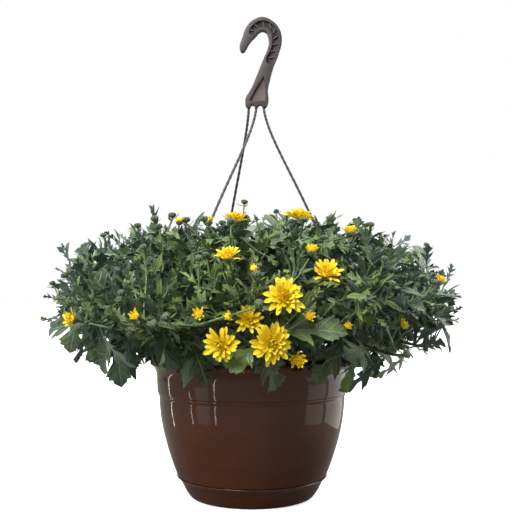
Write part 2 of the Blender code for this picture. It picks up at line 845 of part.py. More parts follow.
def plan_leaves(stems, bed):
    """Leaves from every stem to points spread over the dome, each clear of all that is there before."""
    draw = random.Random(53)
    targets = dome_rings(LEAF_SPACING)
    for index in range(LIP_LEAVES):
        angle = math.tau * index / LIP_LEAVES
        reach = draw.uniform(0.134, 0.158)
        targets.append(Vector((reach * math.cos(angle), reach * math.sin(angle), draw.uniform(0.160, 0.196))))
    draw.shuffle(targets)
    leaves = []
    for target in targets:
        for attempt in range(LEAF_TRIES):
            loose = 0.005 + 0.0009 * attempt
            aim = target + Vector([draw.uniform(-loose, loose) for _ in range(3)])
            aim -= dome_normal(aim) * draw.uniform(-0.008, 0.020)
            owner = nearest_stem(stems, aim)
            wanted = draw.uniform(0.048, 0.074)
            tilt = Vector([draw.uniform(-0.45, 0.45) for _ in range(3)])
            up = (dome_normal(aim) * 0.7 + UP * 0.6 + tilt).normalized()
            droop = draw.uniform(0.35, 0.95)
            kind = draw.choices(("five_lobed", "three_lobed", "lance"), (0.32, 0.53, 0.15))[0]
            best = None
            for node, side, corners in free_faces(stems[owner]):
                root = sum(corners, Vector()) / 4
                facing = (corners[1] - corners[0]).cross(corners[3] - corners[0]).normalized()
                span = (aim - root).length
                cosine = facing.dot(aim - root) / span
                cost = abs(span - wanted) + 0.020 * (1.0 - cosine)
                if cosine > 0.30 and abs(span - wanted) < 0.020 and (best is None or cost < best[0]):
                    best = (cost, node, side, corners, root)
            if best is None:
                continue
            _, node, side, corners, root = best
            blade = Blade(root, aim, up, droop)
            probe = leaf_probe(corners, blade, kind)
            if not bed.meets(probe, ()):
                bed.add(probe, ("leaf", len(leaves)))
                probe.free()
                stems[owner].used.add((node, side))
                leaves.append((owner, node, side, blade, kind))
                break
            probe.free()
    return leaves


def grow_stem(name, stem, leaves, parts, finish):
    """The stem with its leaves drawn out of the faces of its nodes."""
    work, rings = stacked(stem.rings)
    for node, side, blade, kind in leaves:
        after = (side + 1) % STEM_SIDES
        lower, upper = rings[node], rings[node + 1]
        face = work.faces.get((lower[side], lower[after], upper[after], upper[side]))
        draw_leaf(work, face, blade, kind, LEAF_THICKNESS)
    bmesh.ops.triangulate(work, faces=work.faces[:])
    bmesh.ops.recalc_face_normals(work, faces=work.faces[:])
    return as_object(name, work, parts, finish)


def seat_frame(point, axis):
    return Matrix.Translation(point) @ axis.to_track_quat("Z", "Y").to_matrix().to_4x4()


def draw_petal(work, face, lean, span, width, stages):
    """Draw one side face of the core out to a petal: wide and thin, then down to a blunt edge."""
    middle = face.calc_center_median()
    turn = math.atan2(middle.y, middle.x)
    out = Vector((math.sin(lean) * math.cos(turn), math.sin(lean) * math.sin(turn), math.cos(lean)))
    side = Vector((-math.sin(turn), math.cos(turn), 0.0))
    upper = out.cross(side)
    for share, spread, thick, curl in stages:
        face = bmesh.ops.extrude_discrete_faces(work, faces=[face])["faces"][0]
        centre = face.calc_center_median()
        reach = middle + out * span * share - upper * span * curl
        for corner in face.verts:
            left = math.copysign(1.0, (corner.co - centre).dot(side))
            above = math.copysign(1.0, (corner.co - centre).dot(upper))
            corner.co = reach + side * (left * width * spread) + upper * (above * thick)


def make_bloom(name, head, parts, finish, draw):
    """A flower head: a small core of stacked rings whose side faces are drawn out to petals."""
    radius, _ = cup_size(head.reach)
    lift = head.reach * 0.16
    work = bmesh.new()
    bmesh.ops.create_cone(
        work, cap_ends=True, segments=head.petals, radius1=radius, radius2=radius * 0.86, depth=lift
    )
    bmesh.ops.translate(work, vec=(0.0, 0.0, lift / 2), verts=work.verts)
    rings = [[face for face in work.faces if abs(face.normal.z) < 0.7]]
    top = max(work.faces, key=lambda face: face.calc_center_median().z)
    for ring in range(1, head.rings):
        grown = bmesh.ops.extrude_face_region(work, geom=[top])["geom"]
        bmesh.ops.delete(work, geom=[top], context="FACES_ONLY")
        top = next(item for item in grown if isinstance(item, bmesh.types.BMFace))
        shrink = 0.72 if ring == 1 else 0.60
        bmesh.ops.scale(work, vec=(shrink, shrink, 1.0), verts=top.verts)
        bmesh.ops.rotate(
            work, cent=(0.0, 0.0, 0.0), matrix=Matrix.Rotation(math.pi / head.petals, 3, "Z"), verts=top.verts
        )
        bmesh.ops.translate(work, vec=(0.0, 0.0, lift * 0.8), verts=top.verts)
        rings.append([face for face in {f for edge in top.edges for f in edge.link_faces} if face is not top])
    detailed = head.rings == 3
    for ring, faces in enumerate(rings):
        lean = math.radians(18.0 + 70.0 * head.openness) * (1.0, 0.66, 0.36)[ring]
        faces.sort(key=lambda face: math.atan2(face.calc_center_median().y, face.calc_center_median().x))
        for face in faces:
            span = (head.reach - radius * 0.8) * (1.0, 0.86, 0.66)[ring] * draw.uniform(0.90, 1.04)
            tilt = lean + draw.uniform(-0.06, 0.06)
            widest = 0.62 if detailed and ring < 2 else 1.0
            middle = face.calc_center_median()
            start = math.hypot(middle.x, middle.y)
            room = math.tau * (start + widest * span * math.sin(tilt)) / head.petals
            width = min(0.0040, 0.45 * room)
            if detailed and ring < 2:
                stages = ((widest, 1.0, 0.00040, 0.0), (1.0, 0.45, 0.0, 0.10))
            else:
                stages = ((widest, 0.85, 0.0, 0.04),)
            draw_petal(work, face, tilt, span, width, stages)
    bmesh.ops.remove_doubles(work, verts=work.verts, dist=1e-6)
    bmesh.ops.triangulate(work, faces=work.faces[:])
    bmesh.ops.transform(work, matrix=seat_frame(head.seat + head.axis * GAP, head.axis), verts=work.verts)
    return as_object(name, work, parts, finish)


def add_bud(name, group, point, axis):
    work = bmesh.new()
    bmesh.ops.create_icosphere(work, subdivisions=1, radius=BUD_RADIUS)
    bmesh.ops.scale(work, vec=(1.0, 1.0, 0.86), verts=work.verts)
    bmesh.ops.transform(work, matrix=seat_frame(point, axis), verts=work.verts)
    return as_object(name, work, group)


def add_cup(name, group, head):
    """The green cup that a flower sits on; its flat top is at the head's seat."""
    radius, depth = cup_size(head.reach)
    work = bmesh.new()
    bmesh.ops.create_cone(
        work, cap_ends=True, segments=6, radius1=STEM_TIP_RADIUS * 1.3, radius2=radius, depth=depth
    )
    bmesh.ops.translate(work, vec=(0.0, 0.0, -depth / 2), verts=work.verts)
    bmesh.ops.transform(work, matrix=seat_frame(head.seat, head.axis), verts=work.verts)
    return as_object(name, work, group)


def plant_bare_stems(stems, groups, bed):
    """Each stem by itself, bent clear of the others, and the bud or cup at its tip."""
    for owner, stem in enumerate(stems):
        for bend in STEM_BENDS:
            stem.settle(bend)
            work, _ = stacked(stem.rings)
            if not bed.meets(work, ()):
                break
            work.free()
        else:
            raise RuntimeError(f"no clear route for stem {owner + 1}")
        bed.add(work, ("tube", owner))
        work.free()
        if stem.head is None:
            crown = add_bud(f"bud_{owner}", groups[owner], stem.tip, stem.axis)
        else:
            crown = add_cup(f"cup_{owner}", groups[owner], stem.head)
        bed.add_mesh(crown.data, ("crown", owner))


def add_side_heads(side_heads, stems, groups, bed):
    for index, head in enumerate(side_heads):
        depth = cup_size(head.reach)[1]
        owner, route = branch(stems, bed, head.seat, head.axis, depth, (("bloom", head),))
        if owner is None:
            raise RuntimeError(f"no free stalk to side flower {index + 1}")
        end = head.seat - head.axis * depth * 0.4
        stalk = as_object(f"stalk_{index}", stalk_body(route + [end], STALK_RADIUS), groups[owner])
        cup = add_cup(f"side_cup_{index}", groups[owner], head)
        bed.add_mesh(stalk.data, ("stalk", owner))
        bed.add_mesh(cup.data, ("stalk", owner))


def add_side_buds(stems, groups, bed):
    """More buds on short stalks, just out of the foliage."""
    draw = random.Random(37)
    added = 0
    for attempt in range(SIDE_BUDS * 12):
        tip = stems[draw.randrange(len(stems))].tip
        angle = math.atan2(tip.y, tip.x) + draw.uniform(-0.35, 0.35)
        height = min(max(tip.z + draw.uniform(-0.020, 0.035), 0.18), 0.328)
        seat = dome_point(angle, height)
        seat += dome_normal(seat) * draw.uniform(0.004, 0.012)
        axis = (dome_normal(seat) + UP * 0.9).normalized()
        if not 0.022 < (seat - tip).length < 0.060:
            continue
        owner, route = branch(stems, bed, seat, axis, BUD_RADIUS * 0.9)
        if owner is None:
            continue
        bud = add_bud(f"side_bud_{attempt}", groups[owner], seat, axis)
        if bed.meets_mesh(bud.data, ()):
            remove(bud)
            continue
        stalk = as_object(f"bud_stalk_{attempt}", stalk_body(route + [seat], STALK_RADIUS), groups[owner])
        bed.add_mesh(stalk.data, ("stalk", owner))
        bed.add_mesh(bud.data, ("stalk", owner))
        added += 1
        if added == SIDE_BUDS:
            break


def make_plant(parts, finishes, plan, hanger, pot):
    stems, heads, side_heads = plan
    bed = Bed()
    bed.add_mesh(mesh_from(hanger), "hanger")
    bed.add_mesh(mesh_from(pot), "pot")
    groups = [new_collection(f"growth_{owner + 1:02d}") for owner in range(len(stems))]
    plant_bare_stems(stems, groups, bed)
    draw = random.Random(71)
    for index, head in enumerate(heads):
        bloom = make_bloom(f"bloom_{index + 1:02d}", head, parts, finishes["petal"], draw)
        bed.add_mesh(bloom.data, ("bloom", head))
    add_side_heads(side_heads, stems, groups, bed)
    add_side_buds(stems, groups, bed)
    leaves = plan_leaves(stems, bed)
    for owner, stem in enumerate(stems):
        own = [(node, side, blade, kind) for holder, node, side, blade, kind in leaves if holder == owner]
        shoot = grow_stem(f"stem_{owner + 1:02d}", stem, own, parts, finishes["foliage"])
        fuse(shoot, groups[owner], "MANIFOLD")


def main():
    clear_scene()
    parts = new_collection("chrysanthemum_basket")
    pot_cutters = new_collection("pot_cutters")
    hanger_cutters = new_collection("hanger_cutters")
    soil_holes = new_collection("soil_holes")
    plastic = material("brown_polypropylene", (0.055, 0.020, 0.012), 0.25)
    hanger_plastic = material("hanger_polypropylene", (0.075, 0.055, 0.048), 0.5)
    mix = material("potting_mix", (0.030, 0.018, 0.010), 0.95)
    finishes = {
        "foliage": material("leaf_green", (0.045, 0.090, 0.045), 0.6),
        "petal": material("petal_yellow", (0.90, 0.62, 0.03), 0.6),
    }
    routes = [strand_route(angle, start) for angle, start in STRANDS]
    pot = make_pot(parts, pot_cutters, plastic, [(foot, along) for _, foot, along in routes])
    make_saucer(parts, plastic)
    plan = plan_stems()
    for index, stem in enumerate(plan[0]):
        x, y = stem.hole.x, stem.hole.y
        hole = cylinder(
            f"soil_hole_{index}", soil_holes, (x, y, SOIL_TOP_Z - HOLE_DEPTH),
            (x, y, SOIL_TOP_Z + 0.020), HOLE_RADIUS, 5,
        )
        cutter(hole)
    make_soil(parts, soil_holes, mix)
    hanger = make_hanger(parts, hanger_cutters, hanger_plastic, routes)
    make_plant(parts, finishes, plan, hanger, pot)


main()
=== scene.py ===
"""Looks for the hanging basket of yellow garden chrysanthemums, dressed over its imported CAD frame."""

import math
import random

import bmesh
import bpy
from bpy.props import FloatProperty, FloatVectorProperty, IntProperty, PointerProperty
from bpy.types import Operator, Panel, PropertyGroup
from mathutils import Matrix, Vector, noise
from mathutils.bvhtree import BVHTree


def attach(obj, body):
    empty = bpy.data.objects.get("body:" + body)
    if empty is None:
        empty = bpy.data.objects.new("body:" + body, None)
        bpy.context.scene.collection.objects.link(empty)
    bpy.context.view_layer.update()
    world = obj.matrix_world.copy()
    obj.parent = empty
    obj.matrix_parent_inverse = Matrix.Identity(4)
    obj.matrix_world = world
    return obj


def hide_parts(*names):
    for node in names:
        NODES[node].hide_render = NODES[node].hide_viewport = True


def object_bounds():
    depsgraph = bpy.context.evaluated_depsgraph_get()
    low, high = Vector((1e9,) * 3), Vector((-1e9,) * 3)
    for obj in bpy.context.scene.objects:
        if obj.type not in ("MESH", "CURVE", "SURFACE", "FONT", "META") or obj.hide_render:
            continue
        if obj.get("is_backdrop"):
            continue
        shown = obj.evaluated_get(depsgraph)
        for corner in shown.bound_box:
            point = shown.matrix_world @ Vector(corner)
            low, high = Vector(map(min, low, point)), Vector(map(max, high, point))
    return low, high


bl_info = {
    "name": "Chrysanthemum Hanging Basket",
    "version": (1, 0, 0),
    "blender": (4, 5, 0),
    "location": "View3D > Sidebar > Basket",
    "description": "Dresses a hanging pot of garden chrysanthemums",
    "category": "Object",
}

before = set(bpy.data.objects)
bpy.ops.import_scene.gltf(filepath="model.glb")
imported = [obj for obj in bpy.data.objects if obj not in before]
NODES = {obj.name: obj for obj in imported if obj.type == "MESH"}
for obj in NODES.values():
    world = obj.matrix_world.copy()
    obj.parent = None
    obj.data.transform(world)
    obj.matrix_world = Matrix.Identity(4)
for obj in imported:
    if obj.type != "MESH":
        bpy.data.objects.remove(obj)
CAD_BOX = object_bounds()
UP = Vector((0.0, 0.0, 1.0))

# The pot, its saucer and the mix, as in the CAD, in metres.
GAP = 0.0003
WELD = 1e-6
BLADE_WELD = 1e-5
LIP_RADIUS = 0.127
LIP_TOP = 0.1675
LIP_DEPTH = 0.0058
FLARE_FOOT_Z = 0.147
FLARE_FOOT_RADIUS = 0.1188
BAND_Z = 0.1272
BAND_RADIUS = 0.1175
BODY_TOP_Z = 0.1215
BODY_TOP_RADIUS = 0.1153
SKIRT_Z = 0.0268
SKIRT_RADIUS = 0.0925
BODY_BULGE = 1.75
POT_WALL = 0.0022
POT_FLOOR_Z = 0.0200
SPIGOT_RADIUS = 0.0859
SAUCER_TOP_Z = 0.0242
SAUCER_FOOT_RADIUS = 0.071
SAUCER_WALL = 0.0020
SOIL_TOP_Z = 0.148
SOIL_CROWN = 0.006
HOLE_DEPTH = 0.024
DRAIN_HOLES = 6
DRAIN_CIRCLE = 0.055
DRAIN_RADIUS = 0.005

# The hanger, as in the CAD.
HOOK_DEPTH = 0.0095
WEB_DEPTH = 0.0035
STRAND_RADIUS = 0.0017
STRAND_FOOT_RADIUS = 0.1236
STRAND_FOOT_Z = 0.1585
STOP_RADIUS = 0.0029
STOP_LENGTH = 0.0035
STRAND_HOLE_RADIUS = 0.0025
STRANDS = ((-8.0, 0.0150), (114.0, -0.0040), (226.0, 0.0055))
HOOK_OUTLINE = (
    (-0.0146, 0.5600), (-0.0120, 0.5785), (-0.0066, 0.5920), (0.0033, 0.6010), (0.0140, 0.6040),
    (0.0255, 0.5994), (0.0344, 0.5900), (0.0385, 0.5750), (0.0345, 0.5570), (0.0281, 0.5405),
    (0.0237, 0.5246), (0.0205, 0.5095), (0.0201, 0.4900), (0.0160, 0.4862), (0.0105, 0.4900),
    (0.0060, 0.4865), (0.0010, 0.4900), (-0.0040, 0.4860), (-0.0086, 0.4905), (0.0006, 0.5140),
    (0.0077, 0.5317), (0.0148, 0.5495), (0.0205, 0.5640), (0.0215, 0.5745), (0.0150, 0.5864),
    (0.0033, 0.5779), (-0.0035, 0.5700), (-0.0075, 0.5628), (-0.0111, 0.5588),
)
WEB_POCKET = ((0.0150, 0.5270), (0.0172, 0.5100), (0.0172, 0.4945), (-0.0035, 0.4945), (0.0050, 0.5110))
CHANNEL_POCKET = (
    (-0.0035, 0.5830), (0.0045, 0.5960), (0.0150, 0.5992), (0.0255, 0.5945), (0.0325, 0.5850),
    (0.0342, 0.5740), (0.0300, 0.5580), (0.0240, 0.5420), (0.0190, 0.5440), (0.0250, 0.5640),
    (0.0262, 0.5750), (0.0235, 0.5850), (0.0150, 0.5908), (0.0060, 0.5870), (0.0000, 0.5800),
)
# The middle of the channel, from the tip round to the shank, and the ribs across it.
HOOK_MIDDLE = (
    (-0.0128, 0.5620), (-0.0096, 0.5745), (-0.0048, 0.5840), (0.0030, 0.5906), (0.0140, 0.5946),
    (0.0240, 0.5925), (0.0290, 0.5860), (0.0305, 0.5750), (0.0280, 0.5600), (0.0220, 0.5440),
    (0.0168, 0.5310),
)
RIB_SIZE = (0.0019, 0.0011, 0.0064)
RIB_SLANT = 0.55
RIBS = 10
CHANNEL_FOOT_Z = 0.535
POCKET_EDGE = 0.0008
STRAND_SWELL = (1.06, 1.06, 0.90, 0.90)
# The hanger's materials after the satin one: the pale plastic, and the painted shade in the hook's channel.
PALE_PLASTIC, SHADED = 1, 2

# The plant's rule, as in the CAD.
DOME_RADIUS = 0.247
DOME_CENTRE_Z = 0.230
DOME_RISE = 0.106
DOME_DROP = 0.110
DOME_SIDE_POWER = 2.6
DOME_RISE_POWER = 2.2
STEM_RINGS = (
    (0.050, 0.342, 3, 0.018),
    (0.150, 0.334, 8, 0.046),
    (0.234, 0.268, 10, 0.074),
    (0.226, 0.186, 8, 0.100),
)
STEM_FOOT_RADIUS = 0.0022
STEM_TIP_RADIUS = 0.0015
STALK_RADII = (0.0012, 0.0012)
STEM_SIDES = 4
STEM_NECK = 0.010
STEM_LEAST_RISE = 0.050
STEM_RISE_SHARE = 0.62
STEM_ARRIVAL_SHARE = 0.28
LOW_STEM_TOP_Z = 0.215
LOW_STEM_RISE = 0.030
LEAFLESS_SHARE = 0.46
RING_TURN = 0.35
TIP_LOOSE = 0.006
FLOWER_PULL = 0.062
STEM_TWIST = 0.42
STEM_BENDS = (0.0, 0.014, -0.014, 0.028, -0.022)
NODE_STEPS = (0.125, 0.100, 0.076, 0.052, 0.030)
NODE_HEIGHT = 0.0032
STRAND_BERTH = 5.5
STALK_ROOTS = (0.84, 0.76, 0.68, 0.60, 0.52, 0.44)
STALK_PROBE_RADII = (0.0020, 0.0020)
BUD_RADIUS = 0.0046
SIDE_BUDS = 14
LEAF_SPACING = 0.0375
LEAF_THICKNESS = 0.0009
LEAF_CLEARANCE = 0.0006
LEAF_CUP = 0.25
PROBE_SWELL = 1.05
PROBE_START = 0.0009
LEAF_TRIES = 24
LIP_LEAVES = 18

# Flower heads: compass angle (-90 is the front), height, how far out of the dome, petal reach, how far
# open (1 is flat) and rings of petals in the CAD.
BLOOMS = (
    (-86, 0.199, 0.004, 0.0215, 1.00, 3),
    (-97, 0.196, 0.000, 0.0185, 0.95, 3),
    (-91, 0.219, -0.012, 0.0150, 0.80, 2),
    (-83, 0.242, 0.004, 0.0205, 1.00, 3),
    (-72, 0.266, 0.000, 0.0165, 0.70, 2),
    (-74, 0.290, 0.002, 0.0095, 0.35, 1),
    (-96, 0.284, 0.000, 0.0140, 0.70, 2),
    (-98, 0.326, 0.004, 0.0170, 0.80, 2),
    (-58, 0.331, 0.006, 0.0200, 0.90, 2),
    (-79, 0.181, 0.002, 0.0115, 0.40, 1),
    (-140, 0.219, 0.004, 0.0125, 0.50, 2),
    (-118, 0.223, 0.000, 0.0085, 0.35, 1),
    (-102, 0.226, 0.000, 0.0085, 0.40, 1),
    (-119, 0.331, 0.004, 0.0090, 0.45, 1),
    (-50, 0.316, 0.002, 0.0110, 0.55, 1),
    (-28, 0.262, 0.002, 0.0095, 0.40, 1),
    (10, 0.225, 0.002, 0.0185, 0.90, 2),
    (38, 0.300, 0.002, 0.0165, 0.80, 2),
    (75, 0.240, 0.002, 0.0205, 1.00, 3),
    (96, 0.318, 0.004, 0.0170, 0.80, 2),
    (128, 0.205, 0.002, 0.0125, 0.50, 1),
    (150, 0.285, 0.002, 0.0185, 0.95, 3),
    (176, 0.240, 0.002, 0.0100, 0.40, 1),
)

# Where the photo's mound stands up in a tuft: the middle, and how far the shoots there are drawn out.
TUFTS = (
    (Vector((0.145, -0.060, 0.318)), 0.022),
    (Vector((0.180, 0.040, 0.300)), 0.016),
    (Vector((-0.165, -0.060, 0.308)), 0.016),
    (Vector((-0.215, -0.050, 0.285)), 0.014),
    (Vector((0.060, 0.060, 0.334)), 0.012),
    (Vector((-0.060, 0.130, 0.322)), 0.016),
)
TUFT_REACH = 0.075
MOUND_REACH = 0.261
SKIRT_FOOT_Z = 0.158
SKIRT_RISE = 0.052
SKIRT_START = 0.165
SKIRT_WIDTH = 0.060

# Side shoots: how deep under the dome each layer of them is, and how much wider apart than the outer one.
SHOOT_LAYERS = ((0.0, 1.0), (0.030, 1.5), (0.060, 2.0), (0.105, 2.2), (0.150, 2.6))
# The flower that leaves half hide, and where shoots stand in front of it and of the broad leaf beside it.
HALF_HIDDEN = 2
FRONT_SHOOTS = (
    (-0.064, -0.226, 0.221), (-0.044, -0.232, 0.229), (-0.026, -0.234, 0.226), (-0.012, -0.236, 0.238),
    (0.004, -0.232, 0.246), (0.058, -0.240, 0.226), (0.078, -0.240, 0.207), (0.092, -0.226, 0.222),
)
# Where the photo shows small half-open flowers between the CAD's, and the reach of their petals.
HALF_OPEN = (
    ((0.0540, -0.2370, 0.2240), 0.0080), ((-0.0225, -0.2330, 0.2240), 0.0066),
    ((0.1600, -0.1500, 0.2140), 0.0075), ((0.0930, -0.2200, 0.2150), 0.0060),
    ((0.0020, -0.2080, 0.2700), 0.0066), ((-0.0830, -0.1000, 0.3290), 0.0070),
)
# Shares of a stem's length where shoots may root, the lengths their stalks would best have, and the
# radii of their stalks at foot and tip.
SHOOT_ROOTS = (0.90, 0.80, 0.70, 0.60, 0.50, 0.42)
FLOWER_ROOTS = SHOOT_ROOTS[:-1]
SHOOT_STALK_LENGTH = 0.045
FLOWER_STALK_LENGTH = 0.040
SHOOT_RADII = (0.0011, 0.0008)
FLOWER_STALK_RADII = (0.0010, 0.0011)
BUD_STALK_RADII = (0.0009, 0.0010)
# How far stalks and leaves keep from the CAD's hard bodies.
STALK_GAP = 0.0022
FLOWER_STALK_GAP = 0.0016
LEAF_GAP = 0.0012
# What hides a flower: heights over its seat, and shares of its reach across its face and across the view.
FACE_SPACE = (-0.004, 0.070)
FACE_SHARE = 0.95
VIEW_SHARE = 0.92
# How far blades start behind their foot in shares of their length, half their thickness, and the turn
# from one petal to the next.
LEAF_START = -0.03
SMALL_LEAF_START = -0.02
LEAF_HALF = 0.00036
SMALL_LEAF_HALF = 0.00030
PETAL_HALF = 0.00022
GOLDEN_ANGLE = 2.39996

# How light the leaves are: young ones round open flowers, front shoots, sunk shoots with painted shade,
# and broad leaves with painted shade where they face the key light above the shaded foot of the mound.
FRESH_REACH = 0.085
SUNK_PAINTED_SHADE = 0.18
FRONT_TONE = 0.5
BROAD_TONE = 0.45
FACING_PAINTED_SHADE = 0.7
TO_THE_KEY = Vector((-0.36, -0.60, 0.72))
SHADED_FOOT_Z = 0.200

# The photograph's view: where it is taken from, and its lens in pixels of the 512 pixel picture.
VIEWER = Vector((0.0, -0.974, 0.238))
PICTURE_PIXELS = 512.0
FOCAL_PIXELS = 770.0
RAISED_PIXELS = 46.0
SHIFT_PIXELS = 4.0
SENSOR_WIDTH = 36.0

# Softboxes by place, height aimed at, size and watts.
SOFTBOXES = (
    ("key", (-0.9, -1.5, 1.8), 0.26, (0.9, 1.2), 80.0),
    ("low_fill", (-1.3, -1.1, 0.12), 0.22, (0.7, 0.5), 9.0),
    ("right_window", (1.45, 0.45, 0.95), 0.26, (0.8, 0.9), 24.0),
    ("back", (-0.4, 1.9, 1.3), 0.26, (1.8, 1.2), 16.0),
)
# Low cards round the pot by compass angle from the front, width, height and watts, which only give the
# long gleams on its wall.
CARDS = (
    ("card_left_rear", -99.0, 0.007, 0.112, 0.024), ("card_left", -66.0, 0.004, 0.075, 0.010),
    ("card_front", -37.0, 0.004, 0.105, 0.014), ("card_left_wide", -51.0, 0.090, 0.090, 0.014),
    ("card_right_wide", 70.0, 0.150, 0.095, 0.028), ("card_right_rear", 109.0, 0.270, 0.110, 0.090),
)
CARD_CIRCLE = 0.34
CARD_FOOT_Z = 0.004
# The overcast sky: its sun's strength, spread and tilt in degrees, and the strength of its blue.
SUN_STRENGTH = 3.1
SUN_SPREAD = 70.0
SUN_TILT = (-12.0, 8.0, 0.0)
SKY_STRENGTH = 0.26
# How much light the floor adds for the camera, so that hardly any shadow shows on it.
FLOOR_GLOW = 0.55


# Colours, materials and small mesh helpers.

def linear(code):
    """An sRGB hex code as linear RGBA."""
    channels = [int(code[index:index + 2], 16) / 255 for index in (1, 3, 5)]
    return (*[c / 12.92 if c <= 0.04045 else ((c + 0.055) / 1.055) ** 2.4 for c in channels], 1.0)


def paint(colour):
    """A hex code or linear channels as RGBA; a socket stays as it is."""
    if isinstance(colour, str):
        return linear(colour)
    return colour if isinstance(colour, bpy.types.NodeSocket) else (*colour[:3], 1.0)


class Nodes:
    """A node tree, with short ways to add what the materials here share."""

    def __init__(self, tree):
        self.tree = tree

    def feed(self, socket, value):
        """Link a socket to an output, or give it a plain value."""
        if isinstance(value, bpy.types.NodeSocket):
            self.tree.links.new(value, socket)
        else:
            socket.default_value = value

    def add(self, kind, inputs, **settings):
        """Add a node, set its properties and feed its inputs; returns its outputs."""
        node = self.tree.nodes.new(kind)
        for name, value in settings.items():
            setattr(node, name, value)
        for socket, value in inputs.items():
            self.feed(node.inputs[socket], value)
        return node.outputs

    def place(self):
        return self.add("ShaderNodeTexCoord", {})["Object"]

    def blade(self):
        """The coordinates of a leaf or petal: across it, with its rib at 0.5, and along it."""
        return self.add("ShaderNodeUVMap", {}, uv_map="blade")[0]

    def layer(self, name):
        return self.add("ShaderNodeAttribute", {}, attribute_name=name)["Fac"]

    def camera_ray(self):
        return self.add("ShaderNodeLightPath", {})["Is Camera Ray"]

    def noise(self, place, scale, detail=2.0):
        return self.add("ShaderNodeTexNoise", {"Vector": place, "Scale": scale, "Detail": detail})["Fac"]

    def maths(self, operation, *values):
        return self.add("ShaderNodeMath", dict(enumerate(values)), operation=operation)[0]

    def mix(self, factor, first, second, blend="MIX"):
        """Mix two colours by a factor."""
        inputs = {0: factor, 6: paint(first), 7: paint(second)}
        return self.add("ShaderNodeMix", inputs, data_type="RGBA", blend_type=blend)[2]

    def ramp(self, factor, *stops):
        """A ramp through stops, each a place and a hex code or a grey."""
        outputs = self.add("ShaderNodeValToRGB", {"Fac": factor})
        elements = outputs[0].node.color_ramp.elements
        for index, (place, colour) in enumerate(stops):
            element = elements[index] if index < 2 else elements.new(place)
            element.position = place
            element.color = paint(colour if isinstance(colour, str) else (colour, colour, colour))
        return outputs[0]


class Surface(Nodes):
    """A Principled material with plain values on its own sockets."""

    def __init__(self, name, roughness, **sockets):
        self.material = bpy.data.materials.new(name)
        self.material.use_nodes = True
        super().__init__(self.material.node_tree)
        self.shader = self.tree.nodes["Principled BSDF"].inputs
        for socket, value in {"Roughness": roughness, **sockets}.items():
            self.shader[socket.replace("_", " ")].default_value = value

    def colour(self, value):
        self.feed(self.shader["Base Color"], value)

    def bump(self, height, strength, distance):
        inputs = {"Height": height, "Strength": strength, "Distance": distance}
        self.feed(self.shader["Normal"], self.add("ShaderNodeBump", inputs)[0])


def mesh_of(work, name):
    """A mesh from a worked one, which is freed."""
    mesh = bpy.data.meshes.new(name)
    work.to_mesh(mesh)
    work.free()
    return mesh


def worked(mesh):
    """A worked mesh from a plain one, which is removed."""
    work = bmesh.new()
    work.from_mesh(mesh)
    bpy.data.meshes.remove(mesh)
    return work


def merge(work, other):
    """Add a worked mesh to another one."""
    mesh = mesh_of(other, "part")
    work.from_mesh(mesh)
    bpy.data.meshes.remove(mesh)


def add_object(name, data):
    item = bpy.data.objects.new(name, data)
    bpy.context.scene.collection.objects.link(item)
    return item


def finish(name, work, materials, nodes, angle=40.0):
    """Turn a worked mesh into a finished piece on the root body."""
    mesh = mesh_of(work, name)
    for item in materials:
        mesh.materials.append(item)
    mesh.shade_smooth()
    mesh.set_sharp_from_angle(angle=math.radians(angle))
    item = add_object(name, mesh)
    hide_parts(*nodes)
    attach(item, "root")


def evaluated(item):
    """The evaluated mesh of a curve or a modified object; the object itself is removed."""
    bpy.context.view_layer.update()
    graph = bpy.context.evaluated_depsgraph_get()
    mesh = bpy.data.meshes.new_from_object(item.evaluated_get(graph))
    mesh.transform(item.matrix_world)
    bpy.data.objects.remove(item, do_unlink=True)
    return mesh


def seat_frame(point, axis):
    """The place of a thing at a point, with its own +Z along an axis."""
    return Matrix.Translation(point) @ axis.to_track_quat("Z", "Y").to_matrix().to_4x4()


def spun(profile, steps):
    """A closed body from a profile of (radius, height) points that starts and ends on the axis."""
    work = bmesh.new()
    corners = [work.verts.new((radius, 0.0, height)) for radius, height in profile]
    edges = [work.edges.new(pair) for pair in zip(corners, corners[1:])]
    bmesh.ops.spin(
        work, geom=corners + edges, cent=(0.0, 0.0, 0.0), axis=(0.0, 0.0, 1.0), angle=math.tau,
        steps=steps, use_merge=True,
    )
    bmesh.ops.remove_doubles(work, verts=work.verts, dist=WELD)
    bmesh.ops.recalc_face_normals(work, faces=work.faces)
    return work


def cut(work, cutters):
    """Take closed cutters out of a worked mesh with an exact Boolean; returns a new worked mesh."""
    item = add_object("base", mesh_of(work, "base"))
    tool = add_object("tool", mesh_of(cutters, "tool"))
    spent = (item.data, tool.data)
    boolean = item.modifiers.new("Cut", "BOOLEAN")
    boolean.object = tool
    boolean.solver = "EXACT"
    boolean.use_self = True
    result = worked(evaluated(item))
    bpy.data.objects.remove(tool, do_unlink=True)
    for mesh in spent:
        bpy.data.meshes.remove(mesh)
    return result


# The pot, the saucer and the mix.

def rounded(points, radius, segments=3):
    """The profile with each inner corner eased by a small arc of the given reach."""
    result = [points[0]]
    for before, corner, after in zip(points, points[1:], points[2:]):
        here = Vector(corner)
        to_before, to_after = Vector(before) - here, Vector(after) - here
        turn = to_before.angle(to_after, math.pi)
        if turn > math.radians(155.0):
            result.append(corner)
            continue
        reach = min(radius, to_before.length * 0.4, to_after.length * 0.4)
        first, last = here + to_before.normalized() * reach, here + to_after.normalized() * reach
        for step in range(segments + 1):
            t = step / segments
            spot = first * (1 - t) ** 2 + here * (2 * t * (1 - t)) + last * t ** 2
            result.append((spot.x, spot.y))
    return result + [points[-1]]


def body_radius(height):
    rise = (height - SKIRT_Z) / (BODY_TOP_Z - SKIRT_Z)
    return SKIRT_RADIUS + (BODY_TOP_RADIUS - SKIRT_RADIUS) * (1.0 - (1.0 - rise) ** BODY_BULGE)


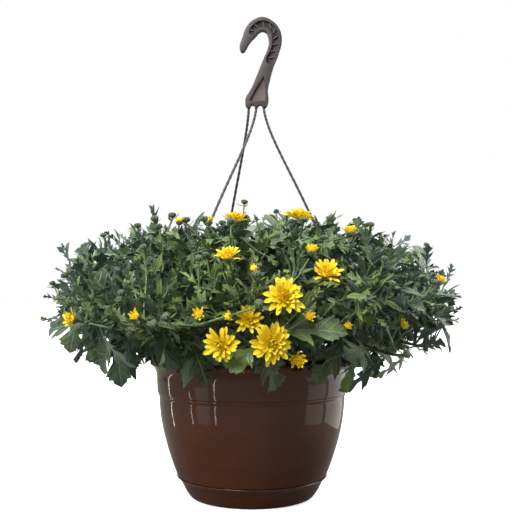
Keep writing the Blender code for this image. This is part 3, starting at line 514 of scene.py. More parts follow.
def flare_radius(height):
    rise = (height - FLARE_FOOT_Z) / (LIP_TOP - LIP_DEPTH - FLARE_FOOT_Z)
    return FLARE_FOOT_RADIUS + (LIP_RADIUS - 0.0016 - FLARE_FOOT_RADIUS) * max(rise, 0.0) ** 2.2


def inner_radius(height):
    if height >= BAND_Z:
        return flare_radius(height - 0.0012) - POT_WALL
    if height >= BODY_TOP_Z:
        return BODY_TOP_RADIUS - POT_WALL
    return body_radius(max(height, SKIRT_Z)) - POT_WALL


def spread(low, high, count):
    return [low + (high - low) * index / (count - 1) for index in range(count)]


def pot_profile():
    lip_foot = LIP_TOP - LIP_DEPTH
    well = SPIGOT_RADIUS - POT_WALL
    inside = [(0.0, POT_FLOOR_Z + POT_WALL), (well, POT_FLOOR_Z + POT_WALL), (well, SKIRT_Z)]
    inside += [(inner_radius(z), z) for z in spread(0.0300, 0.1210, 8) + spread(0.1480, 0.1600, 5)]
    lip = [(LIP_RADIUS - 0.0022, LIP_TOP), (LIP_RADIUS - 0.0004, LIP_TOP), (LIP_RADIUS, lip_foot)]
    outside = [(flare_radius(z), z) for z in spread(lip_foot, FLARE_FOOT_Z, 9)]
    band = [
        (BAND_RADIUS + 0.0004, BAND_Z + 0.0028),
        (BAND_RADIUS, BAND_Z),
        (BAND_RADIUS - 0.0012, BAND_Z - 0.0008),
        (BAND_RADIUS - 0.0012, BAND_Z - 0.0028),
        (BODY_TOP_RADIUS + 0.0002, BODY_TOP_Z + 0.0012),
        (BODY_TOP_RADIUS, BODY_TOP_Z - 0.0004),
    ]
    bell = [(body_radius(z), z) for z in spread(0.1160, SKIRT_Z, 22)]
    foot = [(SPIGOT_RADIUS, SAUCER_TOP_Z + GAP), (SPIGOT_RADIUS, POT_FLOOR_Z), (0.0, POT_FLOOR_Z)]
    return rounded(inside + lip + outside + band + bell + foot, 0.0006)


def saucer_profile():
    rim = SPIGOT_RADIUS + GAP
    ledge_z = POT_FLOOR_Z - GAP
    return rounded([
        (0.0, SAUCER_WALL), (SAUCER_FOOT_RADIUS, SAUCER_WALL), (0.0762, 0.0040), (0.0800, 0.0110),
        (0.0838, ledge_z), (rim, ledge_z), (rim, SAUCER_TOP_Z - 0.0004), (0.0912, 0.0262),
        (0.0928, 0.0260), (0.0930, 0.0250), (0.0908, 0.0236), (0.0880, 0.0200), (0.0850, 0.0145),
        (0.0826, 0.0095), (0.0800, 0.0058), (0.0780, 0.0030), (0.0762, 0.0010), (0.0745, 0.0003),
        (SAUCER_FOOT_RADIUS, 0.0), (0.0, 0.0),
    ], 0.0006)


def add_cylinder(work, foot, top, radius, sides):
    axis = Vector(top) - Vector(foot)
    bmesh.ops.create_cone(
        work, cap_ends=True, segments=sides, radius1=radius, radius2=radius, depth=axis.length,
        matrix=seat_frame((Vector(foot) + Vector(top)) / 2, axis),
    )


def moulded_plastic(name, light, dark, roughness, gloss):
    """Injection-moulded plastic: a smooth skin with faint flow marks and a soft waviness."""
    skin = Surface(name, roughness, IOR=1.49, Specular_IOR_Level=gloss)
    place = skin.place()
    stretch = skin.add("ShaderNodeMapping", {"Scale": (14.0, 14.0, 60.0), "Vector": place})[0]
    skin.colour(skin.mix(skin.noise(stretch, 1.0, 3.0), dark, light))
    relief = skin.maths("MULTIPLY_ADD", skin.noise(place, 26.0, 1.0), 25.0, skin.noise(place, 420.0))
    skin.bump(relief, 0.03, 0.0006)
    return skin.material


def potting_mix():
    """Peat and bark: dark crumbs with a few pale specks, never shiny."""
    skin = Surface("peat_and_bark_mix", 0.95)
    crumbs = skin.noise(skin.place(), 260.0, 5.0)
    skin.colour(skin.ramp(crumbs, (0.30, "#15100c"), (0.62, "#3a2a1e"), (0.80, "#6b5a48")))
    skin.bump(crumbs, 0.6, 0.0015)
    return skin.material


# The hanger.

def strand_route(angle, start_x, steps):
    """The strand's points, its foot and its direction there, which the CAD's seven steps give."""
    heading = Vector((math.cos(math.radians(angle)), math.sin(math.radians(angle)), 0.0))
    start = Vector((start_x, 0.0, 0.4905))
    foot = heading * STRAND_FOOT_RADIUS + UP * STRAND_FOOT_Z
    knots = (start, start - UP * 0.055, foot + UP * 0.150 - heading * 0.002, foot)
    coarse = smooth_route(*knots, 7)
    return smooth_route(*knots, steps), foot, (coarse[-1] - coarse[-2]).normalized()


def flat_curve(outline, depth, ease, smooth):
    """A flat outline in X and Z with a thickness along Y and eased edges, as a worked mesh."""
    curve = bpy.data.curves.new("outline", "CURVE")
    curve.dimensions = "2D"
    curve.fill_mode = "BOTH"
    curve.extrude = depth / 2 - ease
    curve.bevel_depth = ease
    curve.bevel_resolution = 2
    curve.offset = -ease
    curve.resolution_u = 5 if smooth else 1
    spline = curve.splines.new("BEZIER")
    spline.bezier_points.add(len(outline) - 1)
    for knot, (x, z) in zip(spline.bezier_points, outline):
        knot.co = (x, z, 0.0)
        knot.handle_left_type = knot.handle_right_type = "AUTO" if smooth else "VECTOR"
    spline.use_cyclic_u = True
    item = add_object("outline", curve)
    item.rotation_euler = (math.radians(90.0), 0.0, 0.0)
    work = worked(evaluated(item))
    bmesh.ops.remove_doubles(work, verts=work.verts, dist=WELD)
    return work


def add_rib(body, share, side):
    """A slanting rib across the channel of the hook."""
    centre, heading = along_route([Vector((x, 0.0, z)) for x, z in HOOK_MIDDLE], share)
    across = Vector((heading.z, 0.0, -heading.x))
    slant = (across + heading * RIB_SLANT).normalized()
    rib = bmesh.ops.create_cube(body, size=1.0)["verts"]
    bmesh.ops.scale(body, vec=RIB_SIZE, verts=rib)
    for face in {face for corner in rib for face in corner.link_faces}:
        face.material_index = PALE_PLASTIC
    turn = slant.to_track_quat("Z", "Y").to_matrix()
    bmesh.ops.rotate(body, cent=(0.0, 0.0, 0.0), matrix=turn, verts=rib)
    depth = WEB_DEPTH / 2 + RIB_SIZE[1]
    bmesh.ops.translate(body, vec=centre + Vector((0.0, side * depth, 0.0)), verts=rib)


def add_strand(body, points, along):
    """A moulded strand with fine cross ribs and its stop under the lip."""
    fine = []
    radii = []
    for before, after in zip(points, points[1:]):
        for step, swell in enumerate(STRAND_SWELL):
            fine.append(before.lerp(after, step / len(STRAND_SWELL)))
            radii.append(STRAND_RADIUS * swell)
    merge(body, stacked(tube_rings(fine + points[-1:], radii + [STRAND_RADIUS], 10)))
    reach = points[-1] + along * 0.0005
    add_cylinder(body, reach - along * STOP_LENGTH, reach, STOP_RADIUS, 20)


# The plant's rule: the same draws and tests as the CAD's, so each fine leaf lies where its solid does.

def dome_reach(rise):
    return DOME_RISE if rise > 0 else DOME_DROP


def dome_radius(height):
    rise = height - DOME_CENTRE_Z
    left = 1.0 - min(abs(rise) / dome_reach(rise), 1.0) ** DOME_RISE_POWER
    return DOME_RADIUS * left ** (1.0 / DOME_SIDE_POWER)


def dome_point(angle, height):
    radius = dome_radius(height)
    return Vector((radius * math.cos(angle), radius * math.sin(angle), height))


def dome_normal(point):
    radius = math.hypot(point.x, point.y)
    rise = point.z - DOME_CENTRE_Z
    reach = dome_reach(rise)
    across = (radius / DOME_RADIUS) ** (DOME_SIDE_POWER - 1) * DOME_SIDE_POWER / DOME_RADIUS
    upward = (abs(rise) / reach) ** (DOME_RISE_POWER - 1) * DOME_RISE_POWER / reach
    flat = Vector((point.x, point.y, 0.0)).normalized() if radius > 1e-6 else Vector((1.0, 0.0, 0.0))
    return (flat * across + UP * math.copysign(upward, rise)).normalized()


def dome_rings(spacing):
    """Points spread evenly over the dome: rings down its outline, each with its share of points."""
    outline = []
    for step in range(241):
        angle = math.radians(90.0 - step * 0.62)
        lift = math.copysign(abs(math.sin(angle)) ** (2.0 / DOME_RISE_POWER), math.sin(angle))
        radius = DOME_RADIUS * max(math.cos(angle), 0.0) ** (2.0 / DOME_SIDE_POWER)
        outline.append(Vector((radius, 0.0, DOME_CENTRE_Z + dome_reach(lift) * lift)))
    points = []
    walked, wanted, turn = 0.0, spacing * 0.5, 0.0
    for before, after in zip(outline, outline[1:]):
        walked += (after - before).length
        if walked < wanted:
            continue
        wanted += spacing
        count = max(3, round(math.tau * after.x / spacing))
        turn += 0.5
        for index in range(count):
            angle = math.tau * (index + turn % 1.0) / count
            points.append(Vector((after.x * math.cos(angle), after.x * math.sin(angle), after.z)))
    return points


def cup_size(reach):
    return 0.0028 + reach * 0.15, 0.0030 + reach * 0.10


def smooth_route(start, first, last, end, steps):
    """Points of a cubic curve from its start to its end."""
    shares = [index / steps for index in range(steps + 1)]
    return [
        start * (1 - t) ** 3 + first * (3 * t * (1 - t) ** 2) + last * (3 * t * t * (1 - t)) + end * t ** 3
        for t in shares
    ]


def stalk_route(root, heading, end, axis, span, steps):
    """A curve that leaves a stem along its heading and comes to its end along an axis."""
    return smooth_route(root, root + heading * span * 0.3, end - axis * span * 0.35, end, steps)


def along_route(points, share):
    """The point and the direction at a share of the route's length."""
    lengths = [(b - a).length for a, b in zip(points, points[1:])]
    left = share * sum(lengths)
    for a, b, length in zip(points, points[1:], lengths):
        if left <= length:
            return a.lerp(b, left / length), (b - a).normalized()
        left -= length
    return points[-1], (points[-1] - points[-2]).normalized()


def ring_corners(centre, heading, side, radius, twist, sides=STEM_SIDES):
    other = heading.cross(side)
    corners = []
    for index in range(sides):
        angle = twist + math.tau * index / sides
        corners.append(centre + side * (radius * math.cos(angle)) + other * (radius * math.sin(angle)))
    return corners


def stacked(rings):
    """A body of stacked rings, closed at both ends."""
    work = bmesh.new()
    corners = [work.verts.new(spot) for spot in rings[0]]
    top = work.faces.new(corners)
    for ring, spots in enumerate(rings[1:]):
        before = [corner.co.copy() for corner in corners]
        grown = bmesh.ops.extrude_face_region(work, geom=[top])["geom"]
        if ring:
            bmesh.ops.delete(work, geom=[top], context="FACES_ONLY")
        top = next(item for item in grown if isinstance(item, bmesh.types.BMFace))
        corners = [min(top.verts, key=lambda item: (item.co - spot).length) for spot in before]
        for corner, spot in zip(corners, spots):
            corner.co = spot
    bmesh.ops.recalc_face_normals(work, faces=work.faces[:])
    return work


def tube_rings(points, radii, sides):
    """Rings square to a route, kept from turning about it."""
    rings = []
    side = (points[1] - points[0]).orthogonal().normalized()
    for index, (point, radius) in enumerate(zip(points, radii)):
        before, after = points[max(index - 1, 0)], points[min(index + 1, len(points) - 1)]
        heading = (after - before).normalized()
        side = (side - heading * side.dot(heading)).normalized()
        rings.append(ring_corners(point, heading, side, radius, 0.0, sides))
    return rings


def tube_body(points, radii, sides=STEM_SIDES):
    """A closed tube along points, its radius going evenly from the first to the second one given."""
    foot, tip = radii
    last = len(points) - 1
    rings = tube_rings(points, [foot + (tip - foot) * index / last for index in range(last + 1)], sides)
    return stacked(rings)


def numbered(kind, index):
    """The CAD's name for a stem or a bloom."""
    return f"{kind}_{index + 1:02d}"


def anywhere(draw, loose):
    """A random shift of at most so much along each axis."""
    return Vector([draw.uniform(-loose, loose) for _ in range(3)])


class Head:
    """A flower: where the middle of its seat is, the way it looks, and how large and open it is."""

    def __init__(self, row, draw):
        angle, height, proud, self.reach, self.openness, self.rings = row
        surface = dome_point(math.radians(angle), height)
        self.seat = surface + dome_normal(surface) * (proud - 0.005)
        wander = anywhere(draw, 1) * 0.18
        outward = dome_normal(surface) * (0.6 + 0.5 * self.openness)
        self.axis = (outward + UP * 0.35 + wander).normalized()


class Stem:
    """A leafy stem that ends in a bud or in the cup of a flower."""

    def __init__(self, hole, tip):
        self.hole = hole
        self.tip = tip
        self.axis = (dome_normal(tip) + UP * 0.9).normalized()
        self.head = None

    def settle(self, bend):
        """Lay the stem's route and its rings, raised by a bend to pass what is in its way."""
        self.foot = Vector((self.hole.x, self.hole.y, SOIL_TOP_Z - HOLE_DEPTH + 3 * GAP))
        neck = Vector((self.hole.x, self.hole.y, SOIL_TOP_Z + STEM_NECK))
        sink = 0.0 if self.head is None else cup_size(self.head.reach)[1] * 0.5
        top = self.tip - self.axis * sink
        rise = max(STEM_LEAST_RISE, (top.z - neck.z) * STEM_RISE_SHARE) + bend
        if top.z < LOW_STEM_TOP_Z:
            rise += LOW_STEM_RISE
        arrive = top - self.axis * (top - neck).length * STEM_ARRIVAL_SHARE
        self.route = smooth_route(neck, neck + UP * rise, arrive, top, 24)
        length = sum((b - a).length for a, b in zip(self.route, self.route[1:]))
        shares = [0.0, 0.22, 0.42]
        self.nodes = []
        for step in NODE_STEPS:
            share = 1.0 - step / length
            if share > LEAFLESS_SHARE:
                self.nodes.append(len(shares))
                shares += [share, share + NODE_HEIGHT / length]
        shares += [1.0]
        side = Vector((1.0, 0.0, 0.0))
        self.rings = [ring_corners(self.foot, UP, side, STEM_FOOT_RADIUS, 0.0)]
        for index, share in enumerate(shares):
            point, heading = along_route(self.route, share)
            side = (side - heading * side.dot(heading)).normalized()
            radius = STEM_FOOT_RADIUS + (STEM_TIP_RADIUS - STEM_FOOT_RADIUS) * share
            self.rings.append(ring_corners(point, heading, side, radius, STEM_TWIST * (index // 2)))
        self.nodes = [index + 1 for index in self.nodes]
        self.used = set()


def plan_stems():
    """Every stem ring by ring, the nearest ones bent to the flowers."""
    draw = random.Random(11)
    strand_angles = [math.radians(angle) for angle, _ in STRANDS]
    berth = math.radians(STRAND_BERTH)
    stems = []
    for ring, (tip_radius, tip_z, count, hole_radius) in enumerate(STEM_RINGS):
        for index in range(count):
            angle = math.tau * (index + 0.5 * (ring % 2)) / count + RING_TURN + draw.uniform(-0.06, 0.06)
            for strand in strand_angles:
                apart = math.remainder(angle - strand, math.tau)
                if ring and abs(apart) < berth:
                    angle = strand + math.copysign(berth, apart)
            lean = Vector((math.cos(angle), math.sin(angle), 0.0))
            height = tip_z + draw.uniform(-TIP_LOOSE, TIP_LOOSE)
            tip = lean * (tip_radius + draw.uniform(-TIP_LOOSE, TIP_LOOSE)) + UP * height
            stems.append(Stem(lean * hole_radius, tip))
    draw = random.Random(23)
    heads = [Head(row, draw) for row in BLOOMS]
    side_heads = []
    for head in heads:
        free = [item for item in stems if item.head is None and (item.tip - head.seat).length < FLOWER_PULL]
        if free:
            stem = min(free, key=lambda item: (item.tip - head.seat).length)
            stem.tip, stem.axis, stem.head = head.seat, head.axis, head
        else:
            side_heads.append(head)
    return stems, heads, side_heads


def nearest_stem(stems, point):
    """The stem whose leafy stretch comes nearest to the point."""
    def distance(index):
        return min((knot - point).length for knot in stems[index].route[12:])
    return min(range(len(stems)), key=distance)


class Bed:
    """What is already planted: trees of triangles with a ball round each, to test new growth against."""

    def __init__(self):
        self.items = []

    @staticmethod
    def ball(work):
        corners = [corner.co.copy() for corner in work.verts]
        middle = sum(corners, Vector()) / len(corners)
        return middle, max((corner - middle).length for corner in corners), BVHTree.FromBMesh(work)

    def add(self, work, owner):
        self.items.append((*self.ball(work), owner))

    def meets(self, work, skip=()):
        """Whether the growth crosses anything except what the skipped owners hold."""
        middle, reach, own = self.ball(work)
        for centre, radius, tree, owner in self.items:
            if owner not in skip and (centre - middle).length <= radius + reach and tree.overlap(own):
                return True
        return False


def branch(stems, bed, seat, axis, drop, skip=()):
    """A stem near the seat, and a stalk from it to the seat that crosses nothing planted."""
    near = sorted(range(len(stems)), key=lambda index: (stems[index].tip - seat).length)[:3]
    end = seat - axis * drop
    for owner in near:
        for share in STALK_ROOTS:
            root, heading = along_route(stems[owner].route, share)
            route = stalk_route(root, heading, end, axis, (end - root).length, 2)
            probe = tube_body(route, STALK_PROBE_RADII)
            if not bed.meets(probe, (("tube", owner), *skip)):
                return owner, route
    return None, None


# For each kind of leaf in the CAD: pairs of (share of length, half width), with the lobe before each.
LEAF_KINDS = {
    "five_lobed": (((0.50, 0.150), (0.47, 0.27)), ((0.76, 0.145), (0.77, 0.27))),
    "three_lobed": (((0.62, 0.165), (0.60, 0.29)),),
    "lance": (((0.52, 0.140), None),),
}


class Blade:
    """A leaf or petal that leaves its base along a heading and arches over."""

    def __init__(self, base, tip, up, droop):
        chord = tip - base
        along = chord.normalized()
        normal = (up - along * up.dot(along)).normalized()
        half = droop / 2
        self.base = base
        self.droop = droop
        self.heading = along * math.cos(half) + normal * math.sin(half)
        self.normal = normal * math.cos(half) - along * math.sin(half)
        self.across = self.heading.cross(self.normal)
        self.length = chord.length * half / math.sin(half)

    def at(self, share, side, cup):
        """A point on the blade, side being its distance from the rib."""
        turn = self.droop * share
        rib = (
            self.base
            + self.heading * (self.length * math.sin(turn) / self.droop)
            - self.normal * (self.length * (1 - math.cos(turn)) / self.droop)
        )
        return rib + self.across * side + self.normal_at(share) * (abs(side) * cup)

    def normal_at(self, share):
        turn = self.droop * share
        return self.normal * math.cos(turn) + self.heading * math.sin(turn)


def matched(corners, spots, blade):
    """The face's corners in the order of the spots around the blade that they turn least to reach."""
    centre = sum((corner.co for corner in corners), Vector()) / len(corners)
    target = sum(spots, Vector()) / len(spots)
    best = None
    for order in (corners, corners[::-1]):
        for shift in range(len(order)):
            turned_order = order[shift:] + order[:shift]
            cost = 0.0
            for corner, spot in zip(turned_order, spots):
                flat = corner.co - centre
                flat = (flat - blade.heading * flat.dot(blade.heading)).normalized()
                cost -= flat.dot((spot - target).normalized())
            if best is None or cost < best[0]:
                best = (cost, turned_order)
    return best[1]


def leaf_probe(corners, blade, kind):
    """The CAD's leaf by itself, a little larger than life, that starts just off the stem."""
    work = bmesh.new()
    out = blade.heading * PROBE_START
    face = work.faces.new([work.verts.new(corner + out) for corner in corners])
    size = blade.length
    thickness = LEAF_THICKNESS + 2 * LEAF_CLEARANCE
    near = None
    for (share, half), lobe in LEAF_KINDS[kind]:
        corners = []
        for side, lift in ((-1, 1), (-1, -1), (1, -1), (1, 1)):
            flat = blade.at(share, side * half * size * PROBE_SWELL, LEAF_CUP)
            corners.append(flat + blade.normal_at(share) * (lift * thickness / 2))
        if near is None:
            near = matched(list(face.verts), corners, blade)
        places = [corner.co.copy() for corner in near]
        face = bmesh.ops.extrude_discrete_faces(work, faces=[face])["faces"][0]
        far = [min(face.verts, key=lambda item: (item.co - spot).length) for spot in places]
        for corner, spot in zip(far, corners):
            corner.co = spot
        for side, (first, second) in ((-1, (0, 1)), (1, (2, 3))):
            if lobe is None:
                continue
            wall = work.faces.get((near[first], near[second], far[second], far[first]))
            peak = bmesh.ops.poke(work, faces=[wall])["verts"][0]
            peak.co = blade.at(lobe[0], side * lobe[1] * size * PROBE_SWELL, LEAF_CUP)
        for a, b in ((3, 0), (2, 1)):
            skin = work.faces.get((near[a], near[b], far[b], far[a]))
            bmesh.utils.face_split(skin, near[a], far[b])
        near = far
    peak = bmesh.ops.poke(work, faces=[face])["verts"][0]
    peak.co = blade.at(1.0, 0.0, 0.0)
    return work


def free_faces(stem):
    """The faces of the stem's nodes that hold no leaf yet."""
    for node in stem.nodes:
        for side in range(STEM_SIDES):
            if (node, side) not in stem.used:
                lower, upper = stem.rings[node], stem.rings[node + 1]
                after = (side + 1) % STEM_SIDES
                yield node, side, [lower[side], lower[after], upper[after], upper[side]]


def plan_leaves(stems, bed):
    """The CAD's leaves: from every stem to points spread over the dome, each clear of what is there."""
    draw = random.Random(53)
    targets = dome_rings(LEAF_SPACING)
    for index in range(LIP_LEAVES):
        angle = math.tau * index / LIP_LEAVES
        reach = draw.uniform(0.134, 0.158)
        targets.append(Vector((reach * math.cos(angle), reach * math.sin(angle), draw.uniform(0.160, 0.196))))
    draw.shuffle(targets)
    leaves = []
    for target in targets:
        for attempt in range(LEAF_TRIES):
            loose = 0.005 + 0.0009 * attempt
            aim = target + anywhere(draw, loose)
            aim -= dome_normal(aim) * draw.uniform(-0.008, 0.020)
            owner = nearest_stem(stems, aim)
            wanted = draw.uniform(0.048, 0.074)
            tilt = anywhere(draw, 0.45)
            up = (dome_normal(aim) * 0.7 + UP * 0.6 + tilt).normalized()
            droop = draw.uniform(0.35, 0.95)
            kind = draw.choices(("five_lobed", "three_lobed", "lance"), (0.32, 0.53, 0.15))[0]
            best = None
            for node, side, corners in free_faces(stems[owner]):
                root = sum(corners, Vector()) / 4
                facing = (corners[1] - corners[0]).cross(corners[3] - corners[0]).normalized()
                span = (aim - root).length
                cosine = facing.dot(aim - root) / span
                cost = abs(span - wanted) + 0.020 * (1.0 - cosine)
                if cosine > 0.30 and abs(span - wanted) < 0.020 and (best is None or cost < best[0]):
                    best = (cost, node, side, corners, root)
            if best is None:
                continue
            _, node, side, corners, root = best
            blade = Blade(root, aim, up, droop)
            probe = leaf_probe(corners, blade, kind)
            if not bed.meets(probe):
                bed.add(probe, ("leaf", len(leaves)))
                stems[owner].used.add((node, side))
                leaves.append((owner, blade, kind))
                break
    return leaves


def bud_body(point, axis):
    work = bmesh.new()
    bmesh.ops.create_icosphere(work, subdivisions=1, radius=BUD_RADIUS)
    bmesh.ops.scale(work, vec=(1.0, 1.0, 0.86), verts=work.verts)
    bmesh.ops.transform(work, matrix=seat_frame(point, axis), verts=work.verts)
    return work


def cup_body(head):
    radius, depth = cup_size(head.reach)
    work = bmesh.new()
    bmesh.ops.create_cone(
        work, cap_ends=True, segments=6, radius1=STEM_TIP_RADIUS * 1.3, radius2=radius, depth=depth
    )
    bmesh.ops.translate(work, vec=(0.0, 0.0, -depth / 2), verts=work.verts)
    bmesh.ops.transform(work, matrix=seat_frame(head.seat, head.axis), verts=work.verts)
    return work


def node_body(*names):
    work = bmesh.new()
    for name in names:
        work.from_mesh(NODES[name].data)
    return work


class Plan:
    """Everything that grows, planned once: stems, stalks, buds, flower heads and the CAD's leaves."""

    def __init__(self):
        self.stems, self.heads, side_heads = plan_stems()
        bed = Bed()
        for name in ("hanger", "pot"):
            bed.add(node_body(name), name)
        for owner, stem in enumerate(self.stems):
            for bend in STEM_BENDS:
                stem.settle(bend)
                work = stacked(stem.rings)
                if not bed.meets(work):
                    break
            bed.add(work, ("tube", owner))
            crown = bud_body(stem.tip, stem.axis) if stem.head is None else cup_body(stem.head)
            bed.add(crown, ("crown", owner))
        for index, head in enumerate(self.heads):
            bed.add(node_body(numbered("bloom", index)), ("bloom", head))
        self.stalks = []
        for head in side_heads:
            depth = cup_size(head.reach)[1]
            owner, route = branch(self.stems, bed, head.seat, head.axis, depth, (("bloom", head),))
            if owner is None:
                raise RuntimeError("a side flower has no free stalk")
            route = route + [head.seat - head.axis * depth * 0.4]
            self.stalks.append((owner, route, head))
            for body in (tube_body(route, STALK_RADII), cup_body(head)):
                bed.add(body, ("stalk", owner))
        self.side_buds = self.plan_side_buds(bed)
        self.leaves = plan_leaves(self.stems, bed)
        blooms = [numbered("bloom", index) for index in range(len(self.heads))]
        self.hard = BVHTree.FromBMesh(node_body("hanger", "pot", *blooms))

    def plan_side_buds(self, bed):
        """The CAD's buds between the stems' tips, each on a stalk of its own."""
        buds = []
        draw = random.Random(37)
        for _ in range(SIDE_BUDS * 12):
            tip = self.stems[draw.randrange(len(self.stems))].tip
            angle = math.atan2(tip.y, tip.x) + draw.uniform(-0.35, 0.35)
            height = min(max(tip.z + draw.uniform(-0.020, 0.035), 0.18), 0.328)
            seat = dome_point(angle, height)
            seat += dome_normal(seat) * draw.uniform(0.004, 0.012)
            axis = (dome_normal(seat) + UP * 0.9).normalized()
            if not 0.022 < (seat - tip).length < 0.060:
                continue
            owner, route = branch(self.stems, bed, seat, axis, BUD_RADIUS * 0.9)
            bud = bud_body(seat, axis)
            if owner is None or bed.meets(bud):
                continue
            route = route + [seat]
            buds.append((owner, route, seat, axis))
            for body in (tube_body(route, STALK_RADII), bud):
                bed.add(body, ("stalk", owner))
            if len(buds) == SIDE_BUDS:
                break
        return buds


_plan = []


def the_plan():
    if not _plan:
        _plan.append(Plan())
    return _plan[0]


# Growing parts: templates that are bent into place, gathered in one mesh for each piece.

# Rows of a blade from its base: share of the length, half width and how far the edge sweeps forwards.
LEAF_ROWS = {
    "five_lobed": (
        (0.000, 0.010, 0.00), (0.150, 0.011, 0.00), (0.250, 0.020, 0.00), (0.290, 0.050, 0.01),
        (0.315, 0.150, 0.06), (0.335, 0.215, 0.11), (0.350, 0.200, 0.11), (0.368, 0.270, 0.16),
        (0.395, 0.215, 0.13), (0.420, 0.120, 0.07), (0.445, 0.055, 0.02), (0.520, 0.052, 0.01),
        (0.550, 0.150, 0.07), (0.572, 0.220, 0.12), (0.590, 0.205, 0.12), (0.612, 0.270, 0.17),
        (0.645, 0.210, 0.13), (0.672, 0.110, 0.07), (0.700, 0.062, 0.02), (0.765, 0.090, 0.04),
        (0.800, 0.160, 0.09), (0.830, 0.130, 0.07), (0.865, 0.130, 0.07), (0.915, 0.075, 0.03),
        (0.960, 0.038, 0.01), (1.000, 0.000, 0.00),
    ),
    "five_lobed_small": (
        (0.000, 0.014, 0.00), (0.200, 0.018, 0.00), (0.300, 0.050, 0.01), (0.340, 0.160, 0.10),
        (0.370, 0.250, 0.19), (0.430, 0.110, 0.06), (0.465, 0.042, 0.01), (0.540, 0.048, 0.01),
        (0.575, 0.170, 0.11), (0.605, 0.255, 0.19), (0.670, 0.120, 0.07), (0.705, 0.055, 0.02),
        (0.770, 0.085, 0.05), (0.800, 0.160, 0.11), (0.860, 0.085, 0.04), (0.920, 0.055, 0.01),
        (1.000, 0.000, 0.00),
    ),
    "three_lobed": (
        (0.000, 0.011, 0.00), (0.180, 0.013, 0.00), (0.330, 0.035, 0.00), (0.380, 0.070, 0.01),
        (0.415, 0.170, 0.07), (0.440, 0.235, 0.12), (0.458, 0.215, 0.12), (0.480, 0.290, 0.17),
        (0.515, 0.225, 0.13), (0.545, 0.125, 0.07), (0.575, 0.068, 0.02), (0.650, 0.078, 0.02),
        (0.690, 0.160, 0.08), (0.720, 0.205, 0.12), (0.755, 0.160, 0.09), (0.790, 0.165, 0.10),
        (0.845, 0.100, 0.05), (0.890, 0.095, 0.04), (0.945, 0.046, 0.02), (1.000, 0.000, 0.00),
    ),
    "three_lobed_small": (
        (0.000, 0.014, 0.00), (0.250, 0.020, 0.00), (0.360, 0.055, 0.01), (0.410, 0.170, 0.10),
        (0.450, 0.265, 0.20), (0.520, 0.120, 0.08), (0.565, 0.055, 0.01), (0.640, 0.070, 0.02),
        (0.680, 0.160, 0.09), (0.715, 0.205, 0.14), (0.790, 0.105, 0.05), (0.830, 0.110, 0.06),
        (0.900, 0.062, 0.02), (1.000, 0.000, 0.00),
    ),
    "lance": (
        (0.000, 0.014, 0.00), (0.150, 0.020, 0.00), (0.300, 0.062, 0.01), (0.400, 0.105, 0.02),
        (0.480, 0.130, 0.04), (0.540, 0.118, 0.03), (0.600, 0.136, 0.05), (0.680, 0.110, 0.03),
        (0.740, 0.112, 0.04), (0.840, 0.072, 0.02), (0.930, 0.036, 0.01), (1.000, 0.000, 0.00),
    ),
    "lance_small": (
        (0.000, 0.016, 0.00), (0.200, 0.030, 0.00), (0.400, 0.088, 0.01), (0.580, 0.112, 0.02),
        (0.740, 0.092, 0.01), (0.880, 0.050, 0.00), (1.000, 0.000, 0.00),
    ),
    "petal": (
        (0.000, 0.036, 0.00), (0.220, 0.078, 0.00), (0.430, 0.120, 0.00), (0.620, 0.135, 0.00),
        (0.790, 0.116, 0.01), (0.920, 0.068, 0.01), (1.000, 0.000, 0.00),
    ),
}
STEM, BUD, LEAF, PETAL = 0, 1, 2, 3


def blade_template(name, columns):
    """A flat closed blade: x is the distance from the rib, y the share of the length, z the side."""
    rows = LEAF_ROWS[name]
    work = bmesh.new()
    uv = work.loops.layers.uv.new("blade")
    under = work.faces.layers.float.new("under")
    bmesh.ops.create_grid(work, x_segments=columns, y_segments=len(rows) - 1, size=1.0)
    last = len(rows) - 1
    for corner in work.verts:
        share, half, forward = rows[round((corner.co.y + 1.0) / 2.0 * last)]
        out = abs(corner.co.x)
        edge = out > 0.99 or share in (0.0, 1.0)
        corner.co = (corner.co.x * half, share + forward * out ** 1.5, 0.0 if edge else 1.0)
    lower = bmesh.ops.duplicate(work, geom=work.verts[:] + work.edges[:] + work.faces[:])["geom"]
    for item in lower:
        if isinstance(item, bmesh.types.BMVert):
            item.co.z = -item.co.z
        elif isinstance(item, bmesh.types.BMFace):
            item[under] = 1.0
    bmesh.ops.reverse_faces(work, faces=[item for item in lower if isinstance(item, bmesh.types.BMFace)])
    bmesh.ops.remove_doubles(work, verts=work.verts, dist=BLADE_WELD)
    for face in work.faces:
        for loop in face.loops:
            loop[uv].uv = (loop.vert.co.x + 0.5, loop.vert.co.y)
    return mesh_of(work, name)


def bud_template():
    """A flattened ball with ridged scales that close over a dimpled top, of radius 1."""
    work = bmesh.new()
    groove = work.faces.layers.float.new("under")
    bmesh.ops.create_uvsphere(work, u_segments=24, v_segments=9, radius=1.0)
    for face in work.faces:
        middle = face.calc_center_median()
        # The faces in the grooves between the scales are marked in the under layer for painted shade.
        face[groove] = float(math.cos(8 * math.atan2(middle.y, middle.x)) < -0.3 and middle.z > -0.2)
    for corner in work.verts:
        turn = math.atan2(corner.co.y, corner.co.x)
        flat = math.hypot(corner.co.x, corner.co.y)
        ridge = 1.0 + 0.10 * math.cos(8 * turn) * flat
        dimple = 0.26 * max(0.0, 1.0 - flat / 0.55) ** 1.4 if corner.co.z > 0 else 0.0
        corner.co = (corner.co.x * ridge, corner.co.y * ridge, corner.co.z * 0.78 - dimple)
    return mesh_of(work, "bud_template")


def cup_template():
    """The green cup under a flower, from its stalk at z -1 to its rim at z 0, of rim radius 1."""
    work = spun((
        (0.0, -1.06), (0.30, -1.02), (0.62, -0.84), (0.88, -0.50), (1.0, -0.12), (0.98, 0.0), (0.0, 0.02),
    ), 14)
    for corner in work.verts:
        swell = 1.0 + 0.05 * math.cos(7 * math.atan2(corner.co.y, corner.co.x))
        corner.co.x *= swell
        corner.co.y *= swell
    return mesh_of(work, "cup_template")


